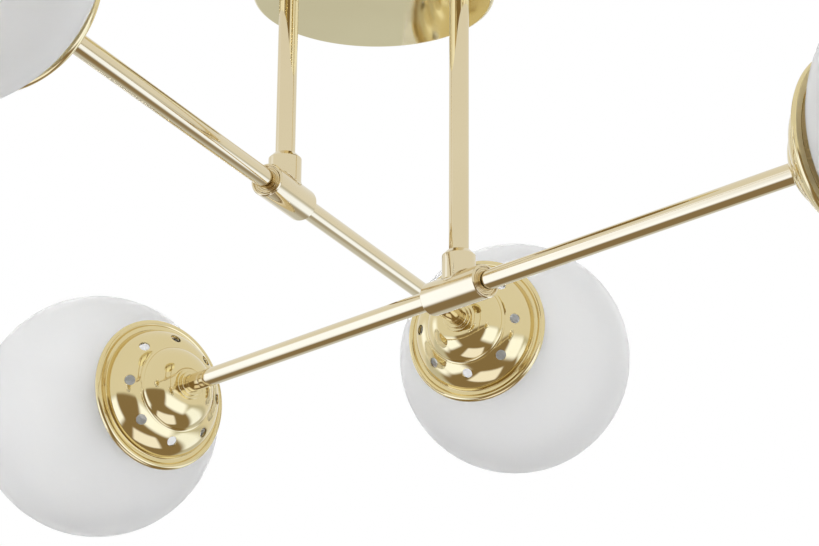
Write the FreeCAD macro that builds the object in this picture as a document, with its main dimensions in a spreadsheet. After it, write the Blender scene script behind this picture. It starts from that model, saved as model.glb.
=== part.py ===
import FreeCAD, Part
import Sketcher
import math
import os
import re

# Semi-flush ceiling light with four opal globes: a round ceiling cup carries two
# down rods of different length, and a cross arm swivels on the end of each rod.
# Each end of an arm carries a spun bell cap, a lampholder and a globe that turns
# in a lug ring. The frame has its origin at the middle of the ceiling face, +Z up
# and +X from the left rod to the right rod. The rear half of an arm points away
# from the viewer, towards +Y.

LENGTHS = (
    # the ceiling cup and the strap that it hangs on
    ("cup_radius", 62.0, "outer radius of the ceiling cup"),
    ("cup_height", 25.0, "ceiling to the underside of the cup"),
    ("cup_wall", 1.0, "sheet of the cup"),
    ("cup_edge", 2.5, "outer rounding of the cup's lower edge"),
    ("strap_width", 18.0, "width of the ceiling strap"),
    ("strap_wall", 1.5, "sheet of the ceiling strap"),
    ("strap_bend", 1.5, "outer rounding of the strap's two bends"),
    ("ear_drop", 15.0, "how far the strap's ears reach down"),
    ("ear_clearance", 0.3, "gap between an ear's corners and the cup's wall"),
    ("slot_inset", 32.0, "outside of the cup to the middle of a ceiling slot"),
    ("slot_radius", 2.5, "half the width of a ceiling slot"),
    ("slot_length", 14.0, "over both rounded ends of a ceiling slot"),
    ("side_screw_drop", 9.0, "ceiling to the axis of the cup's side screws"),
    ("side_screw_radius", 2.0, "thread of a side screw"),
    ("side_screw_reach", 4.0, "how far a side screw passes the inner face of its ear"),
    ("knob_radius", 4.5, "head of a side screw"),
    ("knob_height", 5.0, "height of a side screw's head"),
    ("earth_inset", 16.0, "outside of the cup to the axis of the earth screw"),
    ("earth_radius", 2.0, "thread of the earth screw"),
    ("earth_head_radius", 4.0, "head of the earth screw"),
    ("earth_head_height", 2.6, "height of the earth screw's head"),
    ("block_length", 30.0, "terminal block along the strap"),
    ("block_width", 17.0, "terminal block across the strap"),
    ("block_height", 9.0, "height of the terminal block"),
    ("terminal_pitch", 9.0, "between two poles of the terminal block"),
    ("terminal_row", 9.0, "between the two screws of one pole"),
    ("terminal_radius", 2.0, "screw of a terminal"),
    ("terminal_sink", 3.0, "depth of a terminal's screw hole"),
    ("terminal_screw_height", 2.2, "height of a terminal's screw"),
    ("wire_hole_radius", 1.6, "hole through a pole for the wires"),
    # rods and the fittings that hold them
    ("rod_inset", 18.0, "outside of the cup to the axis of a down rod"),
    ("left_drop", 104.0, "cup's underside to the left arm's axis"),
    ("right_drop", 158.0, "cup's underside to the right arm's axis"),
    ("tube_radius", 5.0, "outer radius of rods and arm tubes"),
    ("tube_wall", 1.0, "wall of rods and arm tubes"),
    ("fit", 0.05, "radial play between pieces that slide into each other"),
    ("seat_gap", 0.3, "gap between faces that turn past each other"),
    ("nipple_wall", 1.0, "wall of a threaded nipple"),
    ("nipple_grip", 10.0, "how far a nipple is screwed into its rod"),
    ("top_nut_radius", 7.5, "across the corners, half, of a nut in the cup"),
    ("top_nut_height", 4.0, "height of a nut in the cup"),
    ("nipple_overrun", 2.0, "how far a nipple stands past its nut"),
    ("washer_radius", 8.5, "washer under a nut in the cup"),
    ("washer_wall", 1.2, "thickness of that washer"),
    ("cable_radius", 2.4, "sheath of the cable in rods and arms"),
    ("cable_bend", 11.0, "bend of a rod's cable inside the cup, to its middle"),
    # the tee at the end of a rod
    ("sleeve_radius", 8.6, "outer radius of the arm sleeve"),
    ("sleeve_length", 40.0, "length of the arm sleeve"),
    ("sleeve_edge", 0.6, "chamfer on the sleeve's ends"),
    ("sleeve_stop", 5.0, "middle of the sleeve to the end of an arm tube"),
    ("wire_bore_radius", 3.6, "bore for the wires through the tee"),
    ("bush_recess_radius", 7.4, "recess in a sleeve end"),
    ("bush_recess_depth", 3.0, "depth of that recess"),
    ("bush_radius", 6.7, "ring nut round the arm tube in a sleeve end"),
    ("bush_sink", 0.6, "sleeve end to the face of the ring nut"),
    ("bush_edge", 0.4, "chamfer on the ring nut"),
    ("collar_radius", 8.4, "outer radius of the tee's upright collar"),
    ("collar_top", 20.5, "arm axis to the top of the collar"),
    ("collar_foot", 3.6, "arm axis to the lowest tips of the collar"),
    ("collar_slope", 2.6, "height and width of the collar's top chamfer"),
    ("collar_seam", 0.08, "soldering gap between the collar and the sleeve"),
    ("rod_seat", 15.0, "arm axis to the lower end of a down rod"),
    ("web_wall", 1.8, "web in the collar that hangs on the swivel nut"),
    ("swivel_washer_wall", 0.5, "fibre washer under the web"),
    ("swivel_nut_radius", 6.2, "across the corners, half, of a swivel nut"),
    ("swivel_nut_height", 3.0, "height of a swivel nut"),
    ("chamber_clearance", 0.4, "play round the swivel nut"),
    # an arm's end: everything hangs from the tube, measured from the cap's rim
    ("arm_reach", 317.0, "rod's axis to a globe's centre"),
    ("cap_depth", 30.0, "rim to the flat top of the cap"),
    ("cap_wall", 1.0, "sheet of the cap"),
    ("cap_margin", 0.3, "lampholder's base to the edge of the cap's flat top"),
    ("ledge_width", 2.3, "flat ledge between the cap's skirt and its bead"),
    ("rim_height", 2.9, "rim to the top of that ledge"),
    ("bead_width", 3.2, "foot of the rolled bead, beyond the ledge"),
    ("vent_radius", 3.0, "a vent hole"),
    ("vent_cut", 4.0, "depth of cut each way for a vent hole"),
    ("boss_radius", 8.6, "foot of the lock nut on the cap"),
    ("boss_neck_radius", 7.0, "top of the lock nut"),
    ("boss_height", 3.4, "height of the lock nut"),
    ("boss_foot_height", 1.5, "height of the lock nut's foot"),
    ("globe_radius", 70.0, "outer radius of a globe"),
    ("globe_clearance", 0.38, "globe's shoulder to the foot of the ledges in the lug ring"),
    ("glass_wall", 2.5, "wall of a globe"),
    ("neck_radius", 32.75, "outer radius of a globe's neck"),
    ("neck_height", 8.5, "how far the neck stands into the cap"),
    ("lug_height", 2.0, "height of a lug on the neck"),
    ("lug_proud", 1.4, "how far a lug stands out of the neck"),
    ("ring_gap", 0.4, "play between the lugs and the lug ring"),
    ("ring_wall", 0.8, "sheet of the lug ring"),
    ("ring_clearance", 0.8, "lug ring to the inside of the cap's skirt"),
    ("ring_lap", 0.6, "how far the lug ring's flange reaches past the skirt under the ledge"),
    ("ring_height", 4.1, "height of the lug ring"),
    ("ledge_foot", 1.4, "cap's rim to the underside of a ledge"),
    ("ledge_height", 1.2, "height of a ledge in the lug ring"),
    # the lampholder and the lamp
    ("holder_radius", 13.5, "outer radius of the lampholder's skirt"),
    ("holder_neck_radius", 9.2, "outer radius of the lampholder's base"),
    ("holder_neck_height", 9.0, "height of the lampholder's base"),
    ("holder_length", 38.0, "length of the lampholder"),
    ("holder_edge", 1.2, "rounding of the lampholder's edges"),
    ("tube_grip", 8.0, "how far the arm tube is screwed into the lampholder"),
    ("socket_radius", 8.0, "bore of the lampholder"),
    ("socket_depth", 23.0, "depth of that bore"),
    ("shell_radius", 7.8, "outer radius of the threaded shell"),
    ("shell_wall", 0.4, "sheet of the threaded shell"),
    ("shell_sink", 3.0, "lampholder's mouth to the shell's lower edge"),
    ("contact_radius", 2.5, "centre contact"),
    ("contact_height", 1.6, "height of the centre contact"),
    ("lamp_cap_radius", 7.2, "screw cap of the lamp"),
    ("lamp_cap_length", 24.0, "length of the lamp's screw cap"),
    ("lamp_tip_radius", 2.4, "contact tip of the lamp"),
    ("lamp_tip_height", 1.4, "height of that tip"),
    ("lamp_radius", 22.5, "ball of the lamp"),
    ("lamp_neck_radius", 7.6, "glass next to the lamp's screw cap"),
    ("lamp_length", 48.0, "screw cap to the far end of the lamp's glass"),
    ("lamp_wall", 0.8, "wall of the lamp's glass"),
    ("lamp_cap_wall", 0.5, "sheet of the lamp's screw cap"),
    ("cut_overrun", 2.0, "how far a cut passes the face that it opens"),
)

ANGLES = (
    ("left_arm_turn", -17.8, "left arm's rear half, turned from +Y"),
    ("right_arm_turn", 46.3, "right arm's rear half, turned from +Y"),
    ("vent_tilt", 38.0, "slope of the cap where the vent holes are"),
    ("lug_angle", 28.0, "how far a lug reaches round the neck"),
    ("ledge_angle", 56.0, "how far a ledge reaches round the ring"),
)

COUNTS = (
    ("vent_count", 8, "vent holes in a cap"),
    ("lug_count", 3, "lugs on a neck, and ledges in a ring"),
    ("pole_count", 3, "poles of the terminal block"),
)

SHARES = (
    ("earth_face_share", 0.6, "flat end of the earth screw's head against its radius"),
    ("earth_rim_share", 0.7, "foot of the earth screw's dome against the head's height"),
    ("swivel_washer_share", 0.9, "swivel washer against the corners of its nut"),
    ("lamp_waist_share", 0.8, "where the lamp's ball passes into its neck, against its radius"),
    ("lamp_rise_share", 0.6, "height of that place over the ball's middle, against its radius"),
    ("vent_circle_share", 0.807, "circle of the vent holes against the foot of the cap's skirt"),
    ("vent_height_share", 0.518, "rim to the middles of the vent holes against the cap's depth"),
)

# Corners of the cap's line over its skirt as shares of the skirt's radius and of the
# cap's depth. Each has the share of its chord by which the line from the corner
# below swells outwards, and the shares of the sheet taken off inwards and downwards
# for the inner line.
CAP_LINE_SHARES = (
    (0.673, 0.607, 0.146, 0.6, 0.8),
    (0.630, 0.667, -0.18, 1.0, 0.0),
)
CAP_DOME_SHARE = 0.131

# Swelling of lines as shares of their chords.
QUARTER_SHARE = math.tan(math.radians(22.5)) / 2
HALF_CIRCLE_SHARE = 0.5
EARTH_DOME_SHARE = 0.15
LAMP_NECK_SHARE = -0.12

# Sums used by more than one sub-part.
ROD_PLACE = "(cup_radius - rod_inset)"
GLOBE_DROP = "(sqrt(globe_radius ^ 2 - (neck_radius + ring_gap) ^ 2) - ledge_foot + globe_clearance)"

doc = FreeCAD.newDocument("globe_ceiling_light")
sheet = doc.addObject("Spreadsheet::Sheet", "Sizes")
for row, (alias, size, note) in enumerate(LENGTHS + ANGLES + COUNTS + SHARES, start=1):
    sheet.set("A%d" % row, alias.replace("_", " "))
    sheet.set("B%d" % row, str(size))
    sheet.setAlias("B%d" % row, alias)
    sheet.set("C%d" % row, note)
doc.recompute()

NAMES = {alias for alias, size, note in LENGTHS + ANGLES + COUNTS + SHARES}
nodes = []


def bound(text):
    """Turn a sum of size names into an expression on the sheet."""
    return re.sub(r"[a-z_]+", lambda word: "Sizes." + word[0] if word[0] in NAMES else word[0], text)


def value(text):
    """Work out a sum of size names, in millimetres or degrees."""
    return float(sheet.evalExpression(bound(text)))


def minus(text):
    """Negative of a sum of size names."""
    return "-(%s)" % text


def new_body(label):
    """An empty body for one sub-part."""
    body = doc.addObject("PartDesign::Body", label)
    body.Label = label
    return body


def keep(piece, label, placement=None):
    """Place a finished sub-part and list it for writing."""
    piece.Label = label
    if placement is not None:
        piece.Placement = placement
    nodes.append(piece)
    return piece


def origin_feature(body, role):
    """A plane or axis of the body's own origin."""
    return [item for item in body.Origin.OriginFeatures if item.Role == role][0]


def new_sketch(body, role, name, shift=None):
    """An empty sketch on a plane of the body's origin."""
    sketch = body.newObject("Sketcher::SketchObject", body.Name + "_" + name)
    sketch.AttachmentSupport = (origin_feature(body, role), [""])
    sketch.MapMode = "FlatFace"
    if shift is not None:
        for axis, text in shift.items():
            sketch.setExpression("AttachmentOffset." + axis, bound(text))
    return sketch


def pin(sketch, element, end, x, y):
    """Hold a point of the sketch at a place given by the sheet."""
    for kind, text in (("DistanceX", x), ("DistanceY", y)):
        index = sketch.addConstraint(Sketcher.Constraint(kind, -1, 1, element, end, value(text)))
        sketch.setExpression("Constraints[%d]" % index, bound(text))


def swollen_middle(start, end, swell):
    """Middle of an arc that swells to the right of its chord by a share of it."""
    (x0, y0), (x1, y1) = start, end
    x = "((%s) + (%s)) / 2 + %r * ((%s) - (%s))" % (x0, x1, swell, y1, y0)
    y = "((%s) + (%s)) / 2 - %r * ((%s) - (%s))" % (y0, y1, swell, x1, x0)
    return x, y


def outline(sketch, corners, closed=True):
    """Line through corners, each with the swelling of the line that leads to it."""
    for index in range(0 if closed else 1, len(corners)):
        start, end, swell = corners[index - 1][:2], corners[index][:2], corners[index][2]
        first = FreeCAD.Vector(value(start[0]), value(start[1]), 0)
        last = FreeCAD.Vector(value(end[0]), value(end[1]), 0)
        if not swell:
            line = sketch.addGeometry(Part.LineSegment(first, last), False)
            pin(sketch, line, 1, *start)
            pin(sketch, line, 2, *end)
            continue
        middle = swollen_middle(start, end, swell)
        top = FreeCAD.Vector(value(middle[0]), value(middle[1]), 0)
        arc = sketch.addGeometry(Part.Arc(first, top, last), False)
        swapped = sketch.getPoint(arc, 1).distanceToPoint(first) > sketch.getPoint(arc, 2).distanceToPoint(first)
        pin(sketch, arc, 2 if swapped else 1, *start)
        pin(sketch, arc, 1 if swapped else 2, *end)
        mark = sketch.addGeometry(Part.Point(top), True)
        pin(sketch, mark, 1, *middle)
        sketch.addConstraint(Sketcher.Constraint("PointOnObject", mark, 1, arc))


def dome_swell(radius, rise):
    """Swelling share of the line over half a round dome, from its foot to its top."""
    return math.tan(math.atan(value(rise) / value(radius)) / 2) / 2


def arc_swell(radius, end_radius):
    """Swelling share of an arc of a ball from its equator to a circle on it."""
    angle = math.acos(value(end_radius) / value(radius))
    return (1 - math.cos(angle / 2)) / (2 * math.sin(angle / 2))


def circle(sketch, radius, x="0", y="0"):
    """Circle with its radius and middle from the sheet."""
    middle = FreeCAD.Vector(value(x), value(y), 0)
    ring = sketch.addGeometry(Part.Circle(middle, FreeCAD.Vector(0, 0, 1), value(radius)), False)
    pin(sketch, ring, 3, x, y)
    index = sketch.addConstraint(Sketcher.Constraint("Radius", ring, value(radius)))
    sketch.setExpression("Constraints[%d]" % index, bound(radius))


def hexagon(sketch, radius):
    """Hexagon with its corners on a circle about the sketch's origin."""
    corners = []
    for index in range(6):
        angle = math.radians(60 * index)
        corners.append(("(%s) * %r" % (radius, math.cos(angle)), "(%s) * %r" % (radius, math.sin(angle)), 0))
    outline(sketch, corners)


def rectangle(sketch, x0, x1, y0, y1):
    """Rectangle between two values on each axis of the sketch."""
    outline(sketch, ((x0, y0, 0), (x1, y0, 0), (x1, y1, 0), (x0, y1, 0)))


def pad(body, sketch, length, name, middle=False):
    """Pad a sketch along its normal by a length from the sheet."""
    feature = body.newObject("PartDesign::Pad", body.Name + "_" + name)
    feature.Profile = sketch
    feature.setExpression("Length", bound(length))
    feature.SideType = "Symmetric" if middle else "One side"
    body.Tip = feature
    return feature


def pocket(body, sketch, length, name, middle=False, turned=False):
    """Cut a sketch by a length from the sheet, and check that it cuts."""
    doc.recompute()
    before = body.Shape.Volume
    feature = body.newObject("PartDesign::Pocket", body.Name + "_" + name)
    feature.Profile = sketch
    feature.setExpression("Length", bound(length))
    feature.SideType = "Symmetric" if middle else "One side"
    feature.Reversed = turned
    body.Tip = feature
    doc.recompute()
    if not body.Shape.Volume < before:
        raise ValueError("%s cuts nothing" % feature.Label)
    return feature


def revolve(body, sketch, name, angle=None):
    """Turn a sketch about the body's Z axis, all round or through an angle."""
    feature = body.newObject("PartDesign::Revolution", body.Name + "_" + name)
    feature.Profile = sketch
    feature.ReferenceAxis = (sketch, ["V_Axis"])
    if angle is not None:
        feature.setExpression("Angle", bound(angle))
        feature.Midplane = True
    body.Tip = feature
    return feature


def ring_pattern(body, feature, count, name):
    """Repeat a feature round the body's Z axis."""
    doc.recompute()
    pattern = body.newObject("PartDesign::PolarPattern", body.Name + "_" + name)
    pattern.Originals = [feature]
    pattern.Axis = (origin_feature(body, "Z_Axis"), [""])
    pattern.Angle = 360
    pattern.setExpression("Occurrences", bound(count))
    body.Tip = pattern
    doc.recompute()
    return pattern


def turned(label, corners):
    """A body turned on a lathe from one closed outline of radius and height."""
    body = new_body(label)
    sketch = new_sketch(body, "XZ_Plane", "profile")
    outline(sketch, corners)
    revolve(body, sketch, "turning")
    return body


def bored(label, outer, inner, foot, top):
    """A plain tube or ring between two heights."""
    return turned(label, ((outer, foot, 0), (outer, top, 0), (inner, top, 0), (inner, foot, 0)))


def solid_rod(label, radius, foot, top):
    """A plain round bar between two heights."""
    return turned(label, (("0", foot, 0), (radius, foot, 0), (radius, top, 0), ("0", top, 0)))


def group(label, pieces):
    """Several identical pieces that share one node."""
    compound = doc.addObject("Part::Compound", label)
    compound.Links = pieces
    doc.recompute()
    return keep(compound, label)


def at(x="0", y="0", z="0"):
    """Placement at a point given by the sheet."""
    return FreeCAD.Placement(FreeCAD.Vector(value(x), value(y), value(z)), FreeCAD.Rotation())


def arm_direction(side):
    """Level direction of an arm's rear half."""
    turn = math.radians(value(side + "_arm_turn"))
    return FreeCAD.Vector(-math.sin(turn), math.cos(turn), 0)


def tee_centre(side):
    """Point where a rod's axis meets its arm's axis."""
    x = value(ROD_PLACE) * (1 if side == "right" else -1)
    return FreeCAD.Vector(x, 0, -value("cup_height + %s_drop" % side))


def upright(side):
    """Placement at a tee's centre with Z up and Y along the arm."""
    turn = FreeCAD.Rotation(FreeCAD.Vector(0, 0, 1), value(side + "_arm_turn"))
    return FreeCAD.Placement(tee_centre(side), turn)


def along(side):
    """Placement at a tee's centre with Z along the arm's rear half and Y up."""
    axis = arm_direction(side)
    up = FreeCAD.Vector(0, 0, 1)
    return FreeCAD.Placement(tee_centre(side), FreeCAD.Rotation(up.cross(axis), up, axis, "ZYX"))


def arm_end(side, end):
    """Placement at the middle of a cap's rim with Z towards the tee and Y up."""
    outwards = arm_direction(side) * (1 if end == "rear" else -1)
    centre = tee_centre(side) + outwards * value("arm_reach - " + GLOBE_DROP)
    up = FreeCAD.Vector(0, 0, 1)
    return FreeCAD.Placement(centre, FreeCAD.Rotation(up.cross(-outwards), up, -outwards, "ZYX"))


# Ceiling cup and strap

NIPPLE_RADIUS = "tube_radius - tube_wall - fit"
CUP_INSIDE = "cup_radius - cup_wall"
WIRE_HEIGHT = "-strap_wall - block_height + terminal_sink + wire_hole_radius"
EAR_FACE = "sqrt((%s) ^ 2 - (strap_width / 2) ^ 2) - ear_clearance" % CUP_INSIDE
SLOT_PLACE = "(cup_radius - slot_inset)"
EARTH_PLACE = "(cup_radius - earth_inset)"


def ceiling_cup():
    """Spun cup with a hole for each rod and for each side screw."""
    body = turned("ceiling_cup", (
        ("0", "-cup_height", 0),
        ("cup_radius - cup_edge", "-cup_height", 0),
        ("cup_radius", "cup_edge - cup_height", QUARTER_SHARE),
        ("cup_radius", "0", 0),
        (CUP_INSIDE, "0", 0),
        (CUP_INSIDE, "cup_edge - cup_height", 0),
        ("cup_radius - cup_edge", "cup_wall - cup_height", -QUARTER_SHARE),
        ("0", "cup_wall - cup_height", 0),
    ))
    rods = new_sketch(body, "XY_Plane", "rod_holes", {"Base.z": "-cup_height"})
    for x in (minus(ROD_PLACE), ROD_PLACE):
        circle(rods, NIPPLE_RADIUS + " + 2 * fit", x)
    pocket(body, rods, "cup_wall + cut_overrun", "rod_hole_cut", turned=True)
    sides = new_sketch(body, "XZ_Plane", "screw_holes")
    circle(sides, "side_screw_radius + 2 * fit", "0", "-side_screw_drop")
    pocket(body, sides, "cup_radius * 2 + cut_overrun", "screw_hole_cut", middle=True)
    return keep(body, "ceiling_cup")


def ceiling_strap():
    """Steel strap with two slots and two bent ears that carry the cup."""
    body = new_body("ceiling_strap")
    side = new_sketch(body, "YZ_Plane", "side_view")
    inside = "%s - strap_wall" % EAR_FACE
    outline(side, (
        (minus(EAR_FACE), "-ear_drop", 0),
        (minus(EAR_FACE), "-strap_bend", 0),
        (minus("%s - strap_bend" % EAR_FACE), "0", -QUARTER_SHARE),
        ("%s - strap_bend" % EAR_FACE, "0", 0),
        (EAR_FACE, "-strap_bend", -QUARTER_SHARE),
        (EAR_FACE, "-ear_drop", 0),
        (inside, "-ear_drop", 0),
        (inside, "-strap_wall", 0),
        (minus(inside), "-strap_wall", 0),
        (minus(inside), "-ear_drop", 0),
    ))
    pad(body, side, "strap_width", "sheet", middle=True)
    slots = new_sketch(body, "XY_Plane", "slots")
    for centre in (minus(SLOT_PLACE), SLOT_PLACE):
        foot = "%s - slot_length / 2 + slot_radius" % centre
        top = "%s + slot_length / 2 - slot_radius" % centre
        outline(slots, (
            ("-slot_radius", foot, 0),
            ("slot_radius", foot, HALF_CIRCLE_SHARE),
            ("slot_radius", top, 0),
            ("-slot_radius", top, HALF_CIRCLE_SHARE),
        ))
    circle(slots, "earth_radius + fit", "0", EARTH_PLACE)
    pocket(body, slots, "strap_wall + cut_overrun", "slot_cut")
    holes = new_sketch(body, "XZ_Plane", "ear_holes")
    circle(holes, "side_screw_radius + fit", "0", "-side_screw_drop")
    pocket(body, holes, "cup_radius * 2 + cut_overrun", "ear_hole_cut", middle=True)
    return keep(body, "ceiling_strap")


def side_screws():
    """Two thumb screws with rounded heads that hold the cup to the ears."""
    pieces = []
    for index in (0, 1):
        body = turned("side_screw_%d" % (index + 1), (
            ("0", "0", 0),
            ("knob_radius", "0", 0),
            ("knob_radius", "knob_height / 2", 0),
            ("0", "knob_height", dome_swell("knob_radius", "knob_height / 2")),
        ))
        shank = new_sketch(body, "XY_Plane", "shank")
        circle(shank, "side_screw_radius")
        stem = pad(body, shank, "cup_radius - (%s) + strap_wall + side_screw_reach" % EAR_FACE, "stem")
        stem.Reversed = True
        outwards = FreeCAD.Vector(0, 1 - 2 * index, 0)
        place = outwards * value("cup_radius")
        place.z = -value("side_screw_drop")
        body.Placement = FreeCAD.Placement(place, FreeCAD.Rotation(FreeCAD.Vector(0, 0, 1), outwards))
        pieces.append(body)
    return group("cup_side_screws", pieces)


def earth_screw():
    """Earth screw in the strap, with its head below."""
    body = turned("earth_screw", (
        ("0", "-strap_wall - earth_head_height", 0),
        ("earth_head_radius * earth_face_share", "-strap_wall - earth_head_height", 0),
        ("earth_head_radius", "-strap_wall - earth_head_height * earth_rim_share", EARTH_DOME_SHARE),
        ("earth_head_radius", "-strap_wall", 0),
        ("earth_radius", "-strap_wall", 0),
        ("earth_radius", "-seat_gap", 0),
        ("0", "-seat_gap", 0),
    ))
    return keep(body, "earth_screw", at(y=EARTH_PLACE))


def pole_places():
    """Places of the terminal block's screws."""
    count = int(value("pole_count"))
    for pole in range(count):
        for row in (-1, 1):
            yield "terminal_row * %r" % (row / 2), "terminal_pitch * %r" % (pole - (count - 1) / 2)


def terminal_block():
    """Terminal block under the strap, with a bore and two screw holes per pole."""
    body = new_body("terminal_block")
    plan = new_sketch(body, "XY_Plane", "plan", {"Base.z": "-strap_wall - block_height"})
    rectangle(plan, "-block_width / 2", "block_width / 2", "-block_length / 2", "block_length / 2")
    pad(body, plan, "block_height", "housing")
    holes = new_sketch(body, "XY_Plane", "screw_holes", {"Base.z": "-strap_wall - block_height"})
    for x, y in pole_places():
        circle(holes, "terminal_radius + fit", x, y)
    pocket(body, holes, "terminal_sink", "screw_hole_cut", turned=True)
    wires = new_sketch(body, "YZ_Plane", "wire_holes")
    for pole in range(int(value("pole_count"))):
        y = "terminal_pitch * %r" % (pole - (value("pole_count") - 1) / 2)
        circle(wires, "wire_hole_radius", y, WIRE_HEIGHT)
    pocket(body, wires, "block_width + cut_overrun", "wire_hole_cut", middle=True)
    return keep(body, "terminal_block")


def terminal_screws():
    """Slotless round screws sunk in the terminal block."""
    pieces = []
    for index, (x, y) in enumerate(pole_places()):
        body = new_body("terminal_screw_%d" % (index + 1))
        end = new_sketch(body, "XY_Plane", "end")
        circle(end, "terminal_radius")
        pad(body, end, "terminal_screw_height", "shank")
        body.Placement = at(x, y, "-strap_wall - block_height + terminal_sink - terminal_screw_height")
        pieces.append(body)
    return group("terminal_screws", pieces)


# Rods and what holds them

def side_x(side):
    """Sum for a rod's place across the cup."""
    return ROD_PLACE if side == "right" else minus(ROD_PLACE)


def down_rod(side):
    """Tube from the cup's underside into the tee's collar."""
    body = bored(side + "_down_rod", "tube_radius", "tube_radius - tube_wall",
                 "rod_seat - %s_drop" % side, "0")
    return keep(body, side + "_down_rod", at(side_x(side), z="-cup_height"))


def rod_nipples():
    """Threaded nipples in both ends of both rods."""
    pieces = []
    above = "cup_wall + washer_wall + top_nut_height + nipple_overrun"
    below = "seat_gap + web_wall + swivel_washer_wall + swivel_nut_height"
    inner = "%s - nipple_wall" % NIPPLE_RADIUS
    for side in ("left", "right"):
        upper = bored(side + "_upper_nipple", NIPPLE_RADIUS, inner, "-nipple_grip", above)
        upper.Placement = at(side_x(side), z="-cup_height")
        lower = bored(side + "_lower_nipple", NIPPLE_RADIUS, inner, minus(below), "nipple_grip")
        lower.Placement = at(side_x(side), z="rod_seat - cup_height - %s_drop" % side)
        pieces += [upper, lower]
    return group("rod_nipples", pieces)


def hex_nut(label, radius, height):
    """Hexagon nut on a rod's nipple, standing on its own foot."""
    body = new_body(label)
    shape = new_sketch(body, "XY_Plane", "hexagon")
    hexagon(shape, radius)
    circle(shape, NIPPLE_RADIUS + " + fit")
    pad(body, shape, height, "nut")
    return body


def top_nuts():
    """Nuts inside the cup that clamp the rods."""
    pieces = []
    for side in ("left", "right"):
        body = hex_nut(side + "_top_nut", "top_nut_radius", "top_nut_height")
        body.Placement = at(side_x(side), z="cup_wall + washer_wall - cup_height")
        pieces.append(body)
    return group("cup_rod_nuts", pieces)


def top_washers():
    """Washers between the cup and its nuts."""
    pieces = []
    for side in ("left", "right"):
        body = bored(side + "_top_washer", "washer_radius", NIPPLE_RADIUS + " + fit", "0", "washer_wall")
        body.Placement = at(side_x(side), z="cup_wall - cup_height")
        pieces.append(body)
    return group("cup_rod_washers", pieces)


def swivel_nuts():
    """Nuts under the tees' webs, on which the arms hang and turn."""
    pieces = []
    for side in ("left", "right"):
        body = hex_nut(side + "_swivel_nut", "swivel_nut_radius", "swivel_nut_height")
        drop = "rod_seat - seat_gap - web_wall - swivel_washer_wall - swivel_nut_height"
        body.Placement = at(side_x(side), z="%s - cup_height - %s_drop" % (drop, side))
        pieces.append(body)
    return group("swivel_nuts", pieces)


def rod_cables():
    """Cable from the terminal block down each rod to the arm's own cables."""
    pieces = []
    foot = "cable_radius + seat_gap - %s_drop"
    level = "cup_height + (%s)" % WIRE_HEIGHT
    for side, turn in (("left", 0), ("right", 180)):
        body = new_body(side + "_rod_cable")
        route = new_sketch(body, "XZ_Plane", "route")
        outline(route, (
            ("0", foot % side, 0),
            ("0", "%s - cable_bend" % level, 0),
            ("cable_bend", level, -QUARTER_SHARE),
            (ROD_PLACE + " - block_width / 2", level, 0),
        ), closed=False)
        end = new_sketch(body, "XY_Plane", "end", {"Base.z": foot % side})
        circle(end, "cable_radius")
        doc.recompute()
        pipe = body.newObject("PartDesign::AdditivePipe", body.Name + "_sheath")
        pipe.Profile = end
        pipe.Spine = (route, ["Edge1", "Edge2", "Edge3"])
        body.Tip = pipe
        place = at(side_x(side), z="-cup_height")
        place.Rotation = FreeCAD.Rotation(FreeCAD.Vector(0, 0, 1), turn)
        body.Placement = place
        pieces.append(body)
    return group("rod_cables", pieces)


# Tee, with Z up and Y along the arm

def tee_collar(side):
    """Upright collar with a web inside, saddle-cut to sit on the sleeve."""
    body = turned(side + "_tee_collar", (
        ("collar_radius", "collar_foot", 0),
        ("collar_radius", "collar_top - collar_slope", 0),
        ("collar_radius - collar_slope", "collar_top", 0),
        ("tube_radius + fit", "collar_top", 0),
        ("tube_radius + fit", "rod_seat - seat_gap", 0),
        (NIPPLE_RADIUS + " + fit", "rod_seat - seat_gap", 0),
        (NIPPLE_RADIUS + " + fit", "rod_seat - seat_gap - web_wall", 0),
        ("swivel_nut_radius + chamber_clearance", "rod_seat - seat_gap - web_wall", 0),
        ("swivel_nut_radius + chamber_clearance", "collar_foot", 0),
    ))
    saddle = new_sketch(body, "XZ_Plane", "saddle")
    circle(saddle, "sleeve_radius + collar_seam")
    pocket(body, saddle, "collar_radius * 2 + cut_overrun", "saddle_cut", middle=True)
    return keep(body, side + "_tee_collar", upright(side))


def swivel_washer(side):
    """Fibre washer between the web and the swivel nut."""
    foot = "rod_seat - seat_gap - web_wall - swivel_washer_wall"
    body = bored(side + "_swivel_washer", "swivel_nut_radius * swivel_washer_share", NIPPLE_RADIUS + " + fit",
                 foot, foot + " + swivel_washer_wall")
    return keep(body, side + "_swivel_washer", upright(side))


# Arm, with Z along its rear half

def arm_sleeve(side):
    """Level sleeve with a stop in the middle, a recess in each end and a wire hole."""
    half = "sleeve_length / 2"
    tube = "tube_radius + fit"
    body = turned(side + "_arm_sleeve", (
        ("sleeve_radius", minus(half + " - sleeve_edge"), 0),
        ("sleeve_radius", half + " - sleeve_edge", 0),
        ("sleeve_radius - sleeve_edge", half, 0),
        ("bush_recess_radius", half, 0),
        ("bush_recess_radius", half + " - bush_recess_depth", 0),
        (tube, half + " - bush_recess_depth", 0),
        (tube, "sleeve_stop", 0),
        ("wire_bore_radius", "sleeve_stop", 0),
        ("wire_bore_radius", "-sleeve_stop", 0),
        (tube, "-sleeve_stop", 0),
        (tube, minus(half + " - bush_recess_depth"), 0),
        ("bush_recess_radius", minus(half + " - bush_recess_depth"), 0),
        ("bush_recess_radius", minus(half), 0),
        ("sleeve_radius - sleeve_edge", minus(half), 0),
    ))
    hole = new_sketch(body, "XZ_Plane", "wire_hole")
    circle(hole, "wire_bore_radius")
    pocket(body, hole, "sleeve_radius + cut_overrun", "wire_hole_cut")
    return keep(body, side + "_arm_sleeve", along(side))


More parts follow.
